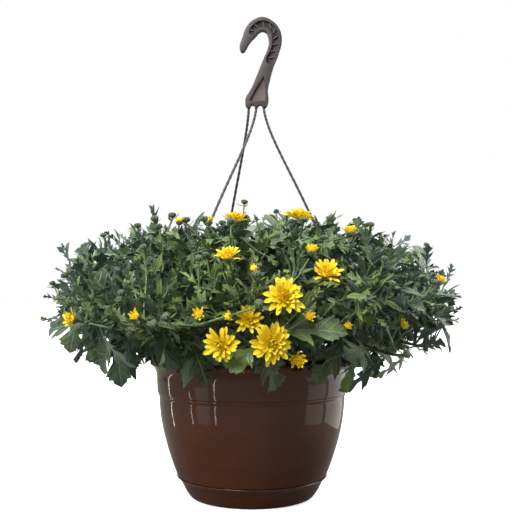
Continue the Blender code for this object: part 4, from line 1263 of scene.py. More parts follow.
class Growth:
    """The mesh of one piece, with the templates it is made of and the layers its materials read."""

    def __init__(self, shapes):
        self.shapes = shapes
        self.work = bmesh.new()
        self.work.loops.layers.uv.new("blade")
        self.work.faces.layers.float.new("under")
        self.tone = self.work.faces.layers.float.new("tone")

    def take(self, mesh, place, tone, material):
        """Add a copy of a template, each corner moved by the place function."""
        corners, faces = len(self.work.verts), len(self.work.faces)
        self.work.from_mesh(mesh)
        self.work.verts.ensure_lookup_table()
        self.work.faces.ensure_lookup_table()
        if place:
            for corner in self.work.verts[corners:]:
                corner.co = place(corner.co)
        for face in self.work.faces[faces:]:
            face[self.tone] = tone
            face.material_index = material

    def join(self, body, tone, material):
        """Add a worked body where it is."""
        mesh = mesh_of(body, "body")
        self.take(mesh, None, tone, material)
        bpy.data.meshes.remove(mesh)

    def stalk(self, points, radii, sides, tone):
        """Add a round stalk along a route, with its radii at foot and tip."""
        self.join(tube_body(points, radii, sides), tone, STEM)

    def cup(self, head):
        """Add the cup under a flower."""
        radius, depth = cup_size(head.reach)
        stand = seat_frame(head.seat, head.axis)

        def place(spot):
            return stand @ Vector((spot.x * radius, spot.y * radius, spot.z * depth))
        self.take(self.shapes["cup"], place, 0.4, BUD)


def leaf_place(blade, draw, thickness, start):
    """How a template's corner lies on the blade: cupped, waved and a little curled."""
    size = blade.length
    cup = draw.uniform(0.10, 0.34)
    phase = draw.uniform(0.0, math.tau)
    curl = draw.uniform(-0.4, 1.3)
    ripple = draw.uniform(0.02, 0.05)

    def place(spot):
        share = spot.y + start * (1.0 - spot.y)
        side = spot.x * size
        wide = abs(spot.x)
        lift = size * (ripple * wide * 4.0 * math.sin(phase + share * 13.0 + (2.0 if spot.x > 0 else 0.0))
                       - curl * wide * wide)
        thick = thickness * (1.0 + 2.6 * max(0.0, 0.34 - share))
        return blade.at(share, side, cup) + blade.normal_at(share) * (lift + spot.z * thick)
    return place


def clear_of(plan, points, gap):
    return all(plan.hard.find_nearest(point, gap)[0] is None for point in points)


def before_a_flower(heads, point):
    """Whether the point stands over a flower's face, or between a front flower and the viewer."""
    for head in heads:
        away = point - head.seat
        rise = away.dot(head.axis)
        aside = (away - head.axis * rise).length
        if FACE_SPACE[0] < rise < FACE_SPACE[1] and aside < head.reach * FACE_SHARE:
            return True
        middle = head.seat + head.axis * head.reach * 0.3
        if middle.y < 0.0 and point.y < middle.y:
            scale = (middle.y - VIEWER.y) / (point.y - VIEWER.y)
            seen = VIEWER + (point - VIEWER) * scale
            if (seen - middle).length < head.reach * VIEW_SHARE:
                return True
    return False


def off_the_mound(point):
    """Whether a side shoot's leaf would hang below the skirt of the mound, or stray beyond its width."""
    reach = math.hypot(point.x, point.y)
    skirt = SKIRT_FOOT_Z + SKIRT_RISE * min(max((reach - SKIRT_START) / SKIRT_WIDTH, 0.0), 1.0)
    return reach > MOUND_REACH or point.z < skirt


def rib_points(blade):
    return [blade.at(share, side * blade.length, 0.2)
            for share, side in ((0.35, 0), (0.6, -0.2), (0.6, 0.2), (0.8, 0), (1.0, 0))]


def bent_aside(plan, blade):
    """The blade turned a little about its foot where it would hide a flower, with its length kept."""
    def hides(leaf):
        return any(before_a_flower(plan.heads, spot) for spot in rib_points(leaf)[1:])
    if not hides(blade):
        return blade
    chord = blade.at(1.0, 0.0, 0.0) - blade.base
    draw = random.Random(round(chord.length * 1e6))
    up = blade.normal_at(0.5)
    for attempt in range(60):
        reach = 0.12 + 0.010 * attempt
        axis = anywhere(draw, 1.0).normalized()
        swing = Matrix.Rotation(draw.uniform(-reach, reach), 3, axis)
        leaf = Blade(blade.base, blade.base + swing @ chord, swing @ up, blade.droop)
        if not hides(leaf) and clear_of(plan, rib_points(leaf)[1:], LEAF_GAP):
            return leaf
    return blade


def drawn_out(point):
    """How far a shoot that ends here is drawn out of the mound by the tufts round it."""
    return sum(most * max(0.0, 1.0 - (point - middle).length / TUFT_REACH) for middle, most in TUFTS)


def freshness(plan, point):
    """From 0 to 1, how near the point is to an open flower."""
    nearest = min((head.seat - point).length for head in plan.heads if head.rings > 1)
    return max(0.0, 1.0 - nearest / FRESH_REACH)


def best_root(stem, point, wanted, shares):
    """The stem's point, with its direction there, from which a stalk has most nearly the wanted length."""
    roots = [along_route(stem.route, share) for share in shares]
    return min(roots, key=lambda item: abs((point - item[0]).length - wanted))


def shoot_blade(draw, route, index, turn, longer):
    """One leaf of the spiral round a shoot, counted from the shoot's end, and its kind."""
    base, along = along_route(route, max(1.0 - 0.105 * index, 0.2))
    side = along.orthogonal().normalized()
    around = Matrix.Rotation(turn + index * 2.4, 3, along) @ side
    apart = 0.30 + 0.17 * index + draw.uniform(-0.14, 0.14)
    lead = (along * math.cos(apart) + around * math.sin(apart)).normalized()
    length = draw.uniform(0.019, 0.036) * (0.74 + 0.12 * min(index, 3)) * longer
    kind = draw.choices(("three_lobed", "five_lobed", "lance"), (0.40, 0.36, 0.24))[0]
    droop = draw.uniform(0.25, 1.0)
    up = (along * 0.9 + UP * 0.55).normalized()
    return Blade(base, base + lead * length, side if abs(up.dot(lead)) > 0.97 else up, droop), kind


def plan_shoots(plan, spacing):
    """Short leafy side shoots that fill the mound: a stem, a stalk and the leaves round its end."""
    draw = random.Random(97)
    others = [head for head in plan.heads if head is not plan.heads[HALF_HIDDEN]]
    targets = [(point, sunk) for sunk, wider in SHOOT_LAYERS for point in dome_rings(spacing * wider)]
    shoots = []
    for target, sunk in targets + [(Vector(point), None) for point in FRONT_SHOOTS]:
        end, outward, heads, share = target, dome_normal(target), others, FRONT_TONE
        if sunk is not None:
            end = target + anywhere(draw, spacing * 0.35)
            outward = dome_normal(end)
            end -= outward * (sunk + draw.uniform(0.004, 0.030) + (0.006 if outward.z > 0.5 else 0.0))
            end += outward * drawn_out(end)
            # Shoots under the outer layer take painted shade: their leaves are darkened by a constant share.
            heads, share = plan.heads, SUNK_PAINTED_SHADE if sunk else 1.0
        owner = nearest_stem(plan.stems, end)
        root, heading = best_root(plan.stems[owner], end, SHOOT_STALK_LENGTH, SHOOT_ROOTS)
        axis = (outward * 0.9 + UP * 0.45 + anywhere(draw, 0.3)).normalized()
        route = stalk_route(root, heading, end, axis, (end - root).length, 5)
        if not clear_of(plan, route[1:], STALK_GAP) or before_a_flower(heads, end) or off_the_mound(end):
            continue
        turn = draw.uniform(0.0, math.tau)
        leaves = []
        for index in range(draw.choice((5, 6, 7))):
            blade, kind = shoot_blade(draw, route, index, turn, 1.0 + 2.4 * (sunk or 0.0))
            spots = rib_points(blade)
            stray = any(before_a_flower(heads, spot) or off_the_mound(spot) for spot in spots)
            if not stray and clear_of(plan, spots, LEAF_GAP):
                leaves.append((blade, kind, leaf_tone(draw, end.z, freshness(plan, end)) * share))
        if leaves:
            bud = not sunk and draw.random() < 0.20
            shoots.append((owner, route, leaves, bud, axis))
    return shoots


def leaf_tone(draw, height, fresh):
    """How light a leaf is: more near the top of the mound and beside the flowers, and more again low down as
    painted light.
    """
    tone = 0.18 + 0.06 * (height - 0.20) / 0.13 + 0.28 * fresh + draw.triangular(-0.24, 0.44, -0.10)
    # Painted light from below: leaves that hang under the mound's overhang are made lighter the lower they
    # are.
    tone += 6.0 * max(0.0, 0.225 - height)
    return min(1.0, max(0.0, tone))


def add_bud(growth, draw, point, axis, radius=BUD_RADIUS):
    """A bud on its cup, with narrow bracts held round it."""
    stand = seat_frame(point, axis) @ Matrix.Rotation(draw.uniform(0.0, math.tau), 4, "Z")
    growth.take(growth.shapes["bud"], lambda spot: stand @ (spot * radius), draw.uniform(0.2, 0.9), BUD)
    side = axis.orthogonal().normalized()
    turn = draw.uniform(0.0, math.tau)
    for index in range(draw.choice((3, 4, 5))):
        around = Matrix.Rotation(turn + index * 2.2, 3, axis) @ side
        base = point - axis * (radius * draw.uniform(0.9, 1.7))
        tip = base + (axis * draw.uniform(0.2, 0.9) + around).normalized() * radius * draw.uniform(1.6, 2.8)
        bract = leaf_place(Blade(base, tip, axis, -draw.uniform(0.5, 1.2)), draw, SMALL_LEAF_HALF, 0.0)
        growth.take(growth.shapes["lance_small"], bract, draw.uniform(0.3, 0.8), LEAF)


class HalfOpen:
    """A small half-open flower that only the fine piece of a stem has."""

    openness = 0.36

    def __init__(self, seat, axis, reach):
        self.seat, self.axis, self.reach = seat, axis, reach


def plan_half_open(plan):
    """Each half-open flower with its stem and stalk, moved a little until it is free of the CAD's bodies."""
    draw = random.Random(77)
    found = []
    for wanted, reach in HALF_OPEN:
        for attempt in range(240):
            seat = Vector(wanted) + anywhere(draw, 0.00006 * attempt)
            axis = (dome_normal(seat) + UP * 0.4 + (VIEWER - seat).normalized() * 0.5).normalized()
            stand = seat_frame(seat, axis)
            ring = [stand @ Vector((0.5 * reach * math.cos(turn), 0.5 * reach * math.sin(turn), 0.7 * reach))
                    for turn in (0.0, 1.26, 2.51, 3.77, 5.03)]
            owner = nearest_stem(plan.stems, seat)
            root, heading = best_root(plan.stems[owner], seat, FLOWER_STALK_LENGTH, FLOWER_ROOTS)
            foot = seat - axis * cup_size(reach)[1] * 0.6
            route = stalk_route(root, heading, foot, axis, (seat - root).length, 6)
            free = clear_of(plan, ring + [seat], STALK_GAP) and clear_of(plan, route[1:], FLOWER_STALK_GAP)
            if free and not before_a_flower(plan.heads, seat) and not off_the_mound(seat):
                found.append((owner, route, HalfOpen(seat, axis, reach)))
                break
    return found


def uncovered(shoots, flowers):
    """The shoots without the leaves that would hide a half-open flower."""
    heads = [flower for _, _, flower in flowers]

    def hides(leaf):
        return any(before_a_flower(heads, spot) for spot in rib_points(leaf[0]))
    return [
        (owner, route, [leaf for leaf in leaves if not hides(leaf)], bud, axis)
        for owner, route, leaves, bud, axis in shoots if not before_a_flower(heads, route[-1])
    ]


def add_leaf(growth, draw, plan, blade, kind):
    """One of the CAD's leaves as a thin blade, with painted shade where it faces the key light."""
    tone = BROAD_TONE * leaf_tone(draw, blade.base.z, freshness(plan, blade.base))
    leaf = bent_aside(plan, blade)
    # Painted shade: above the shaded foot of the mound, a leaf is made darker the more it faces the key
    # light.
    if leaf.at(0.5, 0.0, 0.0).z > SHADED_FOOT_Z:
        facing = max(0.0, leaf.normal_at(0.5).normalized().dot(TO_THE_KEY))
        tone *= 1.0 - FACING_PAINTED_SHADE * facing ** 2
    growth.take(growth.shapes[kind], leaf_place(leaf, draw, LEAF_HALF, LEAF_START), tone, LEAF)


def add_shoot(growth, draw, route, leaves, bud, axis):
    """A side shoot: its stalk, its leaves and, on some, a small bud that stands above them."""
    growth.stalk(route, SHOOT_RADII, 5, draw.uniform(0.4, 0.9))
    for blade, kind, tone in leaves:
        place = leaf_place(blade, draw, SMALL_LEAF_HALF, SMALL_LEAF_START)
        growth.take(growth.shapes[kind + "_small"], place, tone, LEAF)
    if not bud:
        return
    lean = (axis + UP * 0.7).normalized()
    end = route[-1]
    tip = end + lean * (draw.uniform(0.008, 0.024) + 0.018 * max(0.0, lean.z - 0.5))
    if not off_the_mound(tip):
        rise = smooth_route(end, end.lerp(tip, 0.3), tip - axis * 0.003, tip, 4)
        growth.stalk(rise, BUD_STALK_RADII, 5, 1.0)
        add_bud(growth, draw, tip, lean, draw.uniform(0.0028, 0.0046))


def leafy_stem(plan, owner, shoots, flowers, shapes, materials):
    """The fine piece for one stem: its tube, stalks, buds, cups, the CAD's leaves and the side shoots."""
    stem = plan.stems[owner]
    draw = random.Random(1000 + owner)
    growth = Growth(shapes)

    def held(items):
        return [item[1:] for item in items if item[0] == owner]
    growth.stalk([stem.foot + UP * 0.001] + stem.route, (STEM_FOOT_RADIUS, STEM_TIP_RADIUS), 8, 0.15)
    if stem.head is None:
        add_bud(growth, draw, stem.tip, stem.axis)
    for route, _ in held(plan.stalks):
        growth.stalk(smooth_route(*route, 8), STALK_RADII, 7, 0.4)
    for head in [stem.head] + [head for _, head in held(plan.stalks)]:
        if head:
            growth.cup(head)
    for route, seat, axis in held(plan.side_buds):
        growth.stalk(route, STALK_RADII, 7, 0.7)
        add_bud(growth, draw, seat, axis)
    for index, (holder, route, flower) in enumerate(flowers):
        if holder == owner:
            growth.stalk(route, FLOWER_STALK_RADII, 6, 0.7)
            growth.cup(flower)
            set_petals(growth, random.Random(800 + index), flower, PETAL)
    for blade, kind in held(plan.leaves):
        add_leaf(growth, draw, plan, blade, kind)
    for shoot in held(shoots):
        add_shoot(growth, draw, *shoot)
    name = numbered("stem", owner)
    finish("leafy_" + name, growth.work, materials, (name,), 50.0)


def chrysanthemum(index, head, shapes, materials):
    """The fine piece for one of the CAD's flowers."""
    growth = Growth(shapes)
    set_petals(growth, random.Random(500 + index), head, 0)
    name = numbered("bloom", index)
    finish("petals_of_" + name, growth.work, materials, (name,), 60.0)


def set_petals(growth, draw, head, petal):
    """A double flower: petals in a close spiral, long and spread outside, short and upright within.

    The petals take the material number given, the heart takes the next one.
    """
    radius, _ = cup_size(head.reach)
    stand = seat_frame(head.seat + head.axis * GAP, head.axis)
    count = max(20, round(16 + 50 * head.openness * (head.reach / 0.0215) ** 1.3))
    lift = head.reach * 0.16
    outer = math.radians(18.0 + 70.0 * head.openness)
    fuller = 1.11 + 0.15 * min(1.0, (1.0 - head.openness) / 0.35)
    turn = draw.uniform(0.0, math.tau)
    heart = bmesh.new()
    bmesh.ops.create_uvsphere(heart, u_segments=14, v_segments=8, radius=radius * 0.95)
    bmesh.ops.scale(heart, vec=(1.0, 1.0, 0.62), verts=heart.verts)
    bmesh.ops.translate(heart, vec=(0.0, 0.0, radius * 0.59), verts=heart.verts)
    bmesh.ops.transform(heart, matrix=stand, verts=heart.verts)
    growth.join(heart, 1.0, petal + 1)
    for index in range(count):
        inward = (index + 0.5) / count
        turn += GOLDEN_ANGLE + draw.uniform(-0.10, 0.10)
        lean = outer * (1.0 - inward) ** 0.75 + draw.uniform(-0.16, 0.16)
        out = Vector((math.cos(turn), math.sin(turn), 0.0))
        start = out * (radius * 0.80 * (1.0 - inward) ** 0.5) + UP * (lift * (0.35 + 2.1 * inward))
        shorter = 1.0 - (0.32 + 0.30 * head.openness) * min(inward / 0.75, 1.0) ** 1.2
        span = (head.reach - radius * 0.8) * fuller * shorter * draw.uniform(0.84, 1.07)
        tip = start + (out * math.sin(lean) + UP * math.cos(lean)) * span
        bend = (0.50 - 1.6 * inward) * head.openness - 0.5 * (1.0 - head.openness) + draw.uniform(-0.3, 0.3)
        if abs(bend) < 0.05:
            bend = 0.05
        face_up = (UP * math.sin(lean) - out * math.cos(lean)).normalized()
        blade = Blade(stand @ start, stand @ tip, (stand.to_3x3() @ face_up).normalized(), bend)
        width = min(0.0030, head.reach * 0.145) * (1.0 - 0.45 * inward) * draw.uniform(0.85, 1.1)
        broad = width / (0.135 * blade.length)
        cup = draw.uniform(0.25, 0.65)
        roll = draw.uniform(-0.45, 0.45)

        def place(spot):
            side = spot.x * broad * blade.length
            raised = roll * side * spot.y + spot.z * PETAL_HALF
            return blade.at(spot.y, side, cup) + blade.normal_at(spot.y) * raised
        growth.take(growth.shapes["petal"], place, inward + draw.uniform(-0.08, 0.08), petal)


# Materials of the plant.

def leaf_material(settings):
    """Chrysanthemum leaf: dull green with a grey down, paler ribs, and a paler underside."""
    skin = Surface("chrysanthemum_leaf", 0.44, IOR=1.42, Specular_IOR_Level=0.5, Sheen_Weight=0.08)
    maths, place = skin.maths, skin.place()
    across, along, _ = skin.add("ShaderNodeSeparateXYZ", {"Vector": skin.blade()})
    off_rib = maths("ABSOLUTE", maths("SUBTRACT", across, 0.5))
    rib = maths("SUBTRACT", 1.0, maths("MINIMUM", maths("DIVIDE", off_rib, 0.019), 1.0))
    # Side ribs leave the midrib at every ninth of its length and run forwards at about 50 degrees to it.
    ladder = maths("PINGPONG", maths("MULTIPLY_ADD", off_rib, -0.85, along), 0.055)
    side_rib = maths("SUBTRACT", 1.0, maths("MINIMUM", maths("DIVIDE", ladder, 0.014), 1.0))
    veins = maths("MAXIMUM", rib, maths("MULTIPLY", side_rib, 0.55))
    blotch = skin.noise(place, 95.0, 3.0)
    tone = maths("MULTIPLY", skin.layer("tone"), 0.85)
    lightness = maths("ADD", tone, maths("MULTIPLY_ADD", blotch, 0.5, -0.18))
    upper = skin.mix(lightness, settings.leaf_shade, settings.leaf_light)
    ribbed = skin.mix(maths("MULTIPLY", veins, 0.50), upper, "#7f9270")
    colour = skin.mix(skin.layer("under"), ribbed, skin.mix(0.50, upper, "#5c7062"))
    # Yellower in the middle of the front; greyer and bluer farther round the mound, as a painted reflection
    # of the bluish sky.
    ends = {0: place, 1: (0.0, -0.22, 0.235)}
    apart = skin.add("ShaderNodeVectorMath", ends, operation="DISTANCE")["Value"]
    far = maths("MINIMUM", maths("MAXIMUM", maths("MULTIPLY_ADD", apart, 6.7, -0.33), 0.0), 1.0)
    skin.colour(skin.mix(1.0, colour, skin.mix(far, (1.0, 1.0, 0.66), (0.98, 1.0, 1.24)), "MULTIPLY"))
    skin.bump(maths("MULTIPLY_ADD", blotch, 0.5, maths("MULTIPLY", veins, -0.7)), 0.9, 0.0012)
    return skin.material


def stalk_material(settings):
    """Green stalk: fine speckles and a little down, paler than the leaves."""
    skin = Surface("green_stalk", 0.45, IOR=1.42, Specular_IOR_Level=0.35, Sheen_Weight=0.04)
    speckle = skin.noise(skin.place(), 520.0)
    base = skin.mix(skin.layer("tone"), settings.stalk_shade, settings.stalk_light)
    skin.colour(skin.mix(speckle, base, "#5d7040", "SOFT_LIGHT"))
    skin.bump(speckle, 0.4, 0.0004)
    return skin.material


def bud_material(settings):
    """Closed bud and cup: green scales with a grey bloom, browner at their edges, with painted shade in the
    grooves between them.
    """
    skin = Surface("bud_scales", 0.55, IOR=1.42, Specular_IOR_Level=0.3, Sheen_Weight=0.04)
    cells = {"Scale": 620.0, "Vector": skin.place()}
    scales = skin.add("ShaderNodeTexVoronoi", cells, feature="DISTANCE_TO_EDGE")["Distance"]
    edge = skin.ramp(scales, (0.0, 0.0), (0.18, 1.0))
    body = skin.mix(skin.layer("tone"), settings.bud_shade, settings.bud_light)
    # Painted shade: the faces marked in the grooves take a near black green.
    skin.colour(skin.mix(edge, "#3a3c26", skin.mix(skin.layer("under"), body, "#18221a")))
    skin.bump(edge, 0.5, 0.0005)
    return skin.material


def petal_material(settings):
    """Ray petal: clear yellow that lets light in, fine lengthwise grooves, deeper gold at the base."""
    skin = Surface(
        "yellow_ray_petal", 0.50, IOR=1.4, Specular_IOR_Level=0.3, Subsurface_Weight=0.20,
        Subsurface_Scale=0.003, Subsurface_Radius=(1.0, 0.9, 0.15)
    )
    uv = skin.blade()
    _, along, _ = skin.add("ShaderNodeSeparateXYZ", {"Vector": uv})
    ramp = skin.ramp(along, (0.0, "#dfb210"), (0.22, "#e5bf12"), (0.55, "#e9c818"), (1.0, "#eed63a"))
    inner = skin.ramp(skin.layer("tone"), (0.0, 0.0), (0.70, 0.04), (1.0, 0.20))
    skin.colour(skin.mix(inner, ramp, settings.petal_heart))
    # Six grooves across each petal.
    waves = {"Scale": 7.0, "Distortion": 0.6, "Detail": 1.0, "Vector": uv}
    skin.bump(skin.add("ShaderNodeTexWave", waves, bands_direction="X")["Fac"], 0.35, 0.0005)
    return skin.material


def heart_material(settings):
    """The close-packed heart of a flower, seen only between the petals."""
    skin = Surface("flower_heart", 0.7, IOR=1.4, Sheen_Weight=0.1)
    skin.colour(skin.mix(skin.noise(skin.place(), 900.0), "#dfb40c", settings.petal_heart))
    return skin.material


def flower_materials(settings):
    """The petals' and the hearts' materials, made once for all flowers."""
    made = [bpy.data.materials.get(name) for name in ("yellow_ray_petal", "flower_heart")]
    return made if all(made) else [petal_material(settings), heart_material(settings)]


# What a user may change.

def colour_property(name, description, code):
    return FloatVectorProperty(
        name=name, description=description, default=linear(code)[:3], subtype="COLOR", size=3, min=0.0,
        max=1.0,
    )


class BasketSettings(PropertyGroup):
    """Sizes and colours of the basket."""

    pot_colour: colour_property("Pot", "Colour of the pot and saucer", "#4b2814")
    pot_shade: colour_property("Pot shade", "Darker flow marks in the pot's plastic", "#3c1e0f")
    hanger_colour: colour_property("Hanger", "Colour of the hook and strands", "#4b4341")
    # The hanger shade is also the lighter end of the painted shade in the hook's channel.
    hanger_shade: colour_property("Hanger shade", "Darker marks in the hanger's plastic", "#3a3436")
    hanger_pale: colour_property("Pale hanger", "Paler plastic of the web and the grip ribs", "#6b5e58")
    leaf_light: colour_property("Leaf", "Upper side of a leaf in the light", "#8aa54a")
    leaf_shade: colour_property("Old leaf", "Upper side of an old or shaded leaf", "#1e2e28")
    stalk_light: colour_property("Young stalk", "Colour of young stalks", "#8a9c72")
    stalk_shade: colour_property("Old stalk", "Colour of old stalks", "#3c4e38")
    bud_light: colour_property("Bud", "Colour of the buds' scales", "#74886a")
    bud_shade: colour_property("Bud shade", "Darker bud scales", "#4b604c")
    petal_heart: colour_property("Flower heart", "Colour at the middle of a flower", "#eec214")
    floor_colour: colour_property("Floor", "Colour of the studio floor", "#f1f1f1")
    turn_steps: IntProperty(
        name="Turned steps", description="Facets round the pot", default=128, min=24, max=256,
    )
    shoot_spacing: FloatProperty(
        name="Shoot spacing", description="Distance between the side shoots on the mound", default=0.030,
        min=0.02, max=0.1, subtype="DISTANCE", unit="LENGTH",
    )
    crumbs: IntProperty(name="Crumbs", description="Lumps of bark on the mix", default=160, min=0, max=600)


# One operator for each piece or group of like pieces.

class BASKET_OT_pot(Operator):
    """Turn the pot and its saucer, and drill the strand and drain holes"""

    bl_idname = "basket.pot"
    bl_label = "Pot and Saucer"

    def execute(self, context):
        settings = context.scene.basket
        plastic = moulded_plastic("glossy_polypropylene", settings.pot_colour, settings.pot_shade, 0.05, 0.40)
        holes = bmesh.new()
        for index in range(DRAIN_HOLES):
            angle = math.tau * index / DRAIN_HOLES
            x, y = DRAIN_CIRCLE * math.cos(angle), DRAIN_CIRCLE * math.sin(angle)
            add_cylinder(holes, (x, y, POT_FLOOR_Z - 0.002), (x, y, POT_FLOOR_Z + 0.005), DRAIN_RADIUS, 24)
        for angle, start in STRANDS:
            _, point, along = strand_route(angle, start, 7)
            add_cylinder(holes, point + along * 0.007, point - along * 0.0115, STRAND_HOLE_RADIUS, 24)
        pot = cut(spun(pot_profile(), settings.turn_steps), holes)
        finish("pot_shell", pot, [plastic], ("pot",), 32.0)
        saucer = spun(saucer_profile(), settings.turn_steps)
        finish("saucer_shell", saucer, [plastic], ("saucer",), 32.0)
        return {"FINISHED"}


class BASKET_OT_mix(Operator):
    """Fill the pot with a crumbly mix"""

    bl_idname = "basket.mix"
    bl_label = "Potting Mix"

    def execute(self, context):
        settings = context.scene.basket
        draw = random.Random(61)
        edge = inner_radius(SOIL_TOP_Z) - 0.0009
        well = SPIGOT_RADIUS - POT_WALL - 2 * GAP
        foot = POT_FLOOR_Z + POT_WALL + GAP

        def crown(share):
            return SOIL_TOP_Z + SOIL_CROWN * (1.0 - share ** 2)
        profile = [(0.0, crown(0.0))] + [(edge * share, crown(share)) for share in spread(0.06, 1.0, 20)]
        profile += [(inner_radius(z) - 2 * GAP, z) for z in (0.1210, 0.0850, 0.0540, 0.0300)]
        profile += [(well, SKIRT_Z), (well, foot), (0.0, foot)]
        work = spun(profile, 96)
        for corner in work.verts:
            if corner.co.z > SOIL_TOP_Z - 0.001 and math.hypot(corner.co.x, corner.co.y) < edge * 0.99:
                corner.co.z += 0.0022 * noise.noise(corner.co * 150.0)
        for _ in range(settings.crumbs):
            angle = draw.uniform(0.0, math.tau)
            reach = edge * 0.95 * math.sqrt(draw.random())
            spot = (reach * math.cos(angle), reach * math.sin(angle), crown(reach / edge))
            size = draw.uniform(0.0012, 0.0034)
            lump = bmesh.ops.create_icosphere(work, subdivisions=1, radius=size)["verts"]
            bmesh.ops.scale(work, vec=(draw.uniform(0.6, 1.5), 1.0, draw.uniform(0.4, 0.9)), verts=lump)
            turn = Matrix.Rotation(draw.uniform(0.0, math.tau), 3, (draw.random(), draw.random(), 1.0))
            bmesh.ops.rotate(work, cent=(0.0, 0.0, 0.0), matrix=turn, verts=lump)
            bmesh.ops.translate(work, vec=spot, verts=lump)
        finish("peat_and_bark", work, [potting_mix()], ("soil",))
        return {"FINISHED"}


class BASKET_OT_hanger(Operator):
    """Mould the hook, its web and the three strands"""

    bl_idname = "basket.hanger"
    bl_label = "Hanger"

    def execute(self, context):
        settings = context.scene.basket
        colour, shade = settings.hanger_colour, settings.hanger_shade
        plastics = [
            moulded_plastic("moulded_nylon", colour, shade, 0.42, 0.4),
            # A paler plastic for the web's floor and the grip ribs.
            moulded_plastic("paler_nylon", settings.hanger_pale, colour, 0.50, 0.3),
            # Painted shade for the channel and the pockets' walls, from the hanger shade down to a near
            # black.
            moulded_plastic("nylon_painted_channel_shade", shade, "#1f1c1e", 0.55, 0.3),
        ]
        hook = flat_curve(HOOK_OUTLINE, HOOK_DEPTH, 0.0007, True)
        pockets = bmesh.new()
        for outline in (WEB_POCKET, CHANNEL_POCKET):
            for side in (-1, 1):
                pocket = flat_curve(outline, HOOK_DEPTH - WEB_DEPTH, 0.0003, outline is CHANNEL_POCKET)
                bmesh.ops.translate(pocket, vec=(0.0, side * HOOK_DEPTH / 2, 0.0), verts=pocket.verts)
                merge(pockets, pocket)
        body = cut(hook, pockets)
        # Painted shade on the channel's floor and on all the pockets' walls; the web's floor takes the pale
        # plastic.
        for face in body.faces:
            middle = face.calc_center_median()
            floor = abs(face.normal.y) > 0.9
            sunk = abs(middle.y) < HOOK_DEPTH / 2 - POCKET_EDGE
            if sunk and (floor or abs(middle.y) > WEB_DEPTH / 2):
                face.material_index = SHADED if middle.z > CHANNEL_FOOT_Z or not floor else PALE_PLASTIC
        for side in (-1, 1):
            for share in spread(0.16, 0.82, RIBS):
                add_rib(body, share, side)
        for angle, start in STRANDS:
            points, _, along = strand_route(angle, start, 40)
            add_strand(body, points, along)
        finish("hook_and_strands", body, plastics, ("hanger",))
        return {"FINISHED"}


class BASKET_OT_foliage(Operator):
    """Grow the leafy stems with their buds"""

    bl_idname = "basket.foliage"
    bl_label = "Leafy Stems"

    def execute(self, context):
        settings = context.scene.basket
        plan = the_plan()
        materials = [stalk_material(settings), bud_material(settings), leaf_material(settings)]
        materials += flower_materials(settings)
        shapes = {"bud": bud_template(), "cup": cup_template(), "petal": blade_template("petal", 2)}
        for kind in LEAF_KINDS:
            shapes[kind] = blade_template(kind, 4)
            shapes[kind + "_small"] = blade_template(kind + "_small", 2)
        flowers = plan_half_open(plan)
        shoots = uncovered(plan_shoots(plan, settings.shoot_spacing), flowers)
        for owner in range(len(plan.stems)):
            leafy_stem(plan, owner, shoots, flowers, shapes, materials)
        for mesh in shapes.values():
            bpy.data.meshes.remove(mesh)
        return {"FINISHED"}


class BASKET_OT_flowers(Operator):
    """Set the flowers on their cups"""

    bl_idname = "basket.flowers"
    bl_label = "Flowers"

    def execute(self, context):
        settings = context.scene.basket
        materials = flower_materials(settings)
        shapes = {"petal": blade_template("petal", 2)}
        for index, head in enumerate(the_plan().heads):
            chrysanthemum(index, head, shapes, materials)
        bpy.data.meshes.remove(shapes["petal"])
        return {"FINISHED"}


def lay_floor(settings):
    """A matt paper floor that is white only to the camera, so that it doesn't wash out the pot's gloss."""
    work = bmesh.new()
    bmesh.ops.create_circle(work, cap_ends=True, segments=96, radius=60.0)
    mesh = mesh_of(work, "studio_floor")
    mesh.shade_smooth()
    paper = Surface("matt_paper", 0.9)
    seen = paper.camera_ray()
    tint = paper.mix(paper.noise(paper.place(), 900.0), settings.floor_colour, "#f6f6f6")
    paper.colour(paper.mix(seen, "#706e6a", tint))
    paper.shader["Emission Color"].default_value = linear("#ffffff")
    paper.feed(paper.shader["Emission Strength"], paper.maths("MULTIPLY", seen, FLOOR_GLOW))
    mesh.materials.append(paper.material)
    floor = add_object("studio_floor", mesh)
    floor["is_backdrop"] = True


def make_world():
    """A soft sky for the light, and plain white behind for the camera."""
    world = bpy.data.worlds.new("studio")
    world.use_nodes = True
    nodes = Nodes(world.node_tree)
    sky = nodes.tree.nodes["Background"]
    sky.inputs["Color"].default_value = linear("#f2f5ff")
    sky.inputs["Strength"].default_value = SKY_STRENGTH
    wall = nodes.add("ShaderNodeBackground", {"Color": linear("#ffffff"), "Strength": 1.0})[0]
    both = nodes.add("ShaderNodeMixShader", {0: nodes.camera_ray(), 1: sky.outputs[0], 2: wall})[0]
    nodes.feed(nodes.tree.nodes["World Output"].inputs["Surface"], both)
    bpy.context.scene.world = world


def hang_lamps():
    """The softboxes, the cards round the pot and the overcast sky's sun."""
    lamps = list(SOFTBOXES)
    for name, angle, width, height, power in CARDS:
        turn = math.radians(angle)
        spot = (CARD_CIRCLE * math.sin(turn), -CARD_CIRCLE * math.cos(turn), CARD_FOOT_Z + height / 2)
        lamps.append((name, spot, spot[2], (width, height), power))
    for name, spot, aim, size, power in lamps:
        lamp = bpy.data.lights.new(name, "AREA")
        lamp.shape = "RECTANGLE"
        lamp.size, lamp.size_y = size
        lamp.energy = power
        item = add_object(name, lamp)
        item.location = spot
        item.rotation_euler = (Vector((0.0, 0.0, aim)) - Vector(spot)).to_track_quat("-Z", "Y").to_euler()
        item.visible_camera = False
        item.visible_glossy = name != "low_fill"
    sun = bpy.data.lights.new("overcast", "SUN")
    sun.energy = SUN_STRENGTH
    sun.angle = math.radians(SUN_SPREAD)
    add_object("overcast", sun).rotation_euler = [math.radians(tilt) for tilt in SUN_TILT]


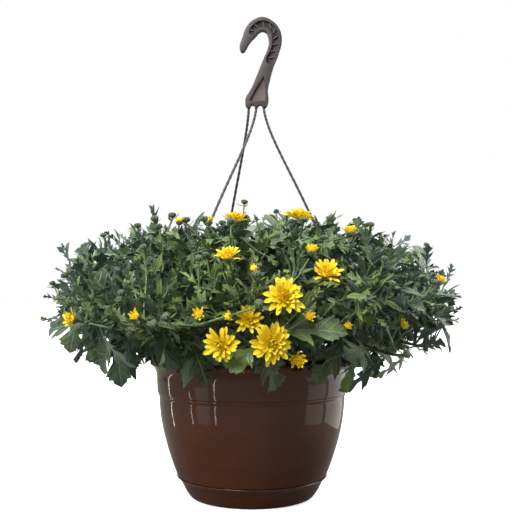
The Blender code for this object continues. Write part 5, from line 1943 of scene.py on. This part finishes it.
def set_camera():
    """The photograph's view."""
    lens = bpy.data.cameras.new("camera")
    lens.sensor_width = SENSOR_WIDTH
    lens.lens = SENSOR_WIDTH * FOCAL_PIXELS / PICTURE_PIXELS
    lens.shift_x = SHIFT_PIXELS / PICTURE_PIXELS
    lens.clip_start = 0.05
    camera = add_object("camera", lens)
    camera.location = VIEWER
    camera.rotation_euler = (math.radians(90.0) + math.atan2(RAISED_PIXELS, FOCAL_PIXELS), 0.0, 0.0)
    bpy.context.scene.camera = camera


class BASKET_OT_stage(Operator):
    """Lay the studio floor and set the lights and the camera"""

    bl_idname = "basket.stage"
    bl_label = "Studio"

    def execute(self, context):
        lay_floor(context.scene.basket)
        make_world()
        hang_lamps()
        set_camera()
        context.scene.view_settings.view_transform = "Standard"
        return {"FINISHED"}


OPERATORS = (
    BASKET_OT_stage, BASKET_OT_pot, BASKET_OT_mix, BASKET_OT_hanger, BASKET_OT_flowers, BASKET_OT_foliage,
)


class BASKET_PT_panel(Panel):
    """Lists the basket's pieces and settings"""

    bl_idname = "BASKET_PT_panel"
    bl_label = "Hanging Basket"
    bl_space_type = "VIEW_3D"
    bl_region_type = "UI"
    bl_category = "Basket"

    def draw(self, context):
        settings = context.scene.basket
        for name in BasketSettings.__annotations__:
            self.layout.prop(settings, name)
        for operator in OPERATORS:
            self.layout.operator(operator.bl_idname)


CLASSES = (BasketSettings, *OPERATORS, BASKET_PT_panel)


def register():
    for item in CLASSES:
        bpy.utils.register_class(item)
    bpy.types.Scene.basket = PointerProperty(type=BasketSettings)


def unregister():
    del bpy.types.Scene.basket
    for item in reversed(CLASSES):
        bpy.utils.unregister_class(item)


def main():
    register()
    bpy.ops.basket.stage()
    bpy.ops.basket.pot()
    bpy.ops.basket.mix()
    bpy.ops.basket.hanger()
    bpy.ops.basket.flowers()
    bpy.ops.basket.foliage()
    boxes = {"cad": CAD_BOX, "visual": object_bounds()}
    {name: [list(corner) for corner in box] for name, box in boxes.items()}


if __name__ == "__main__":
    main()
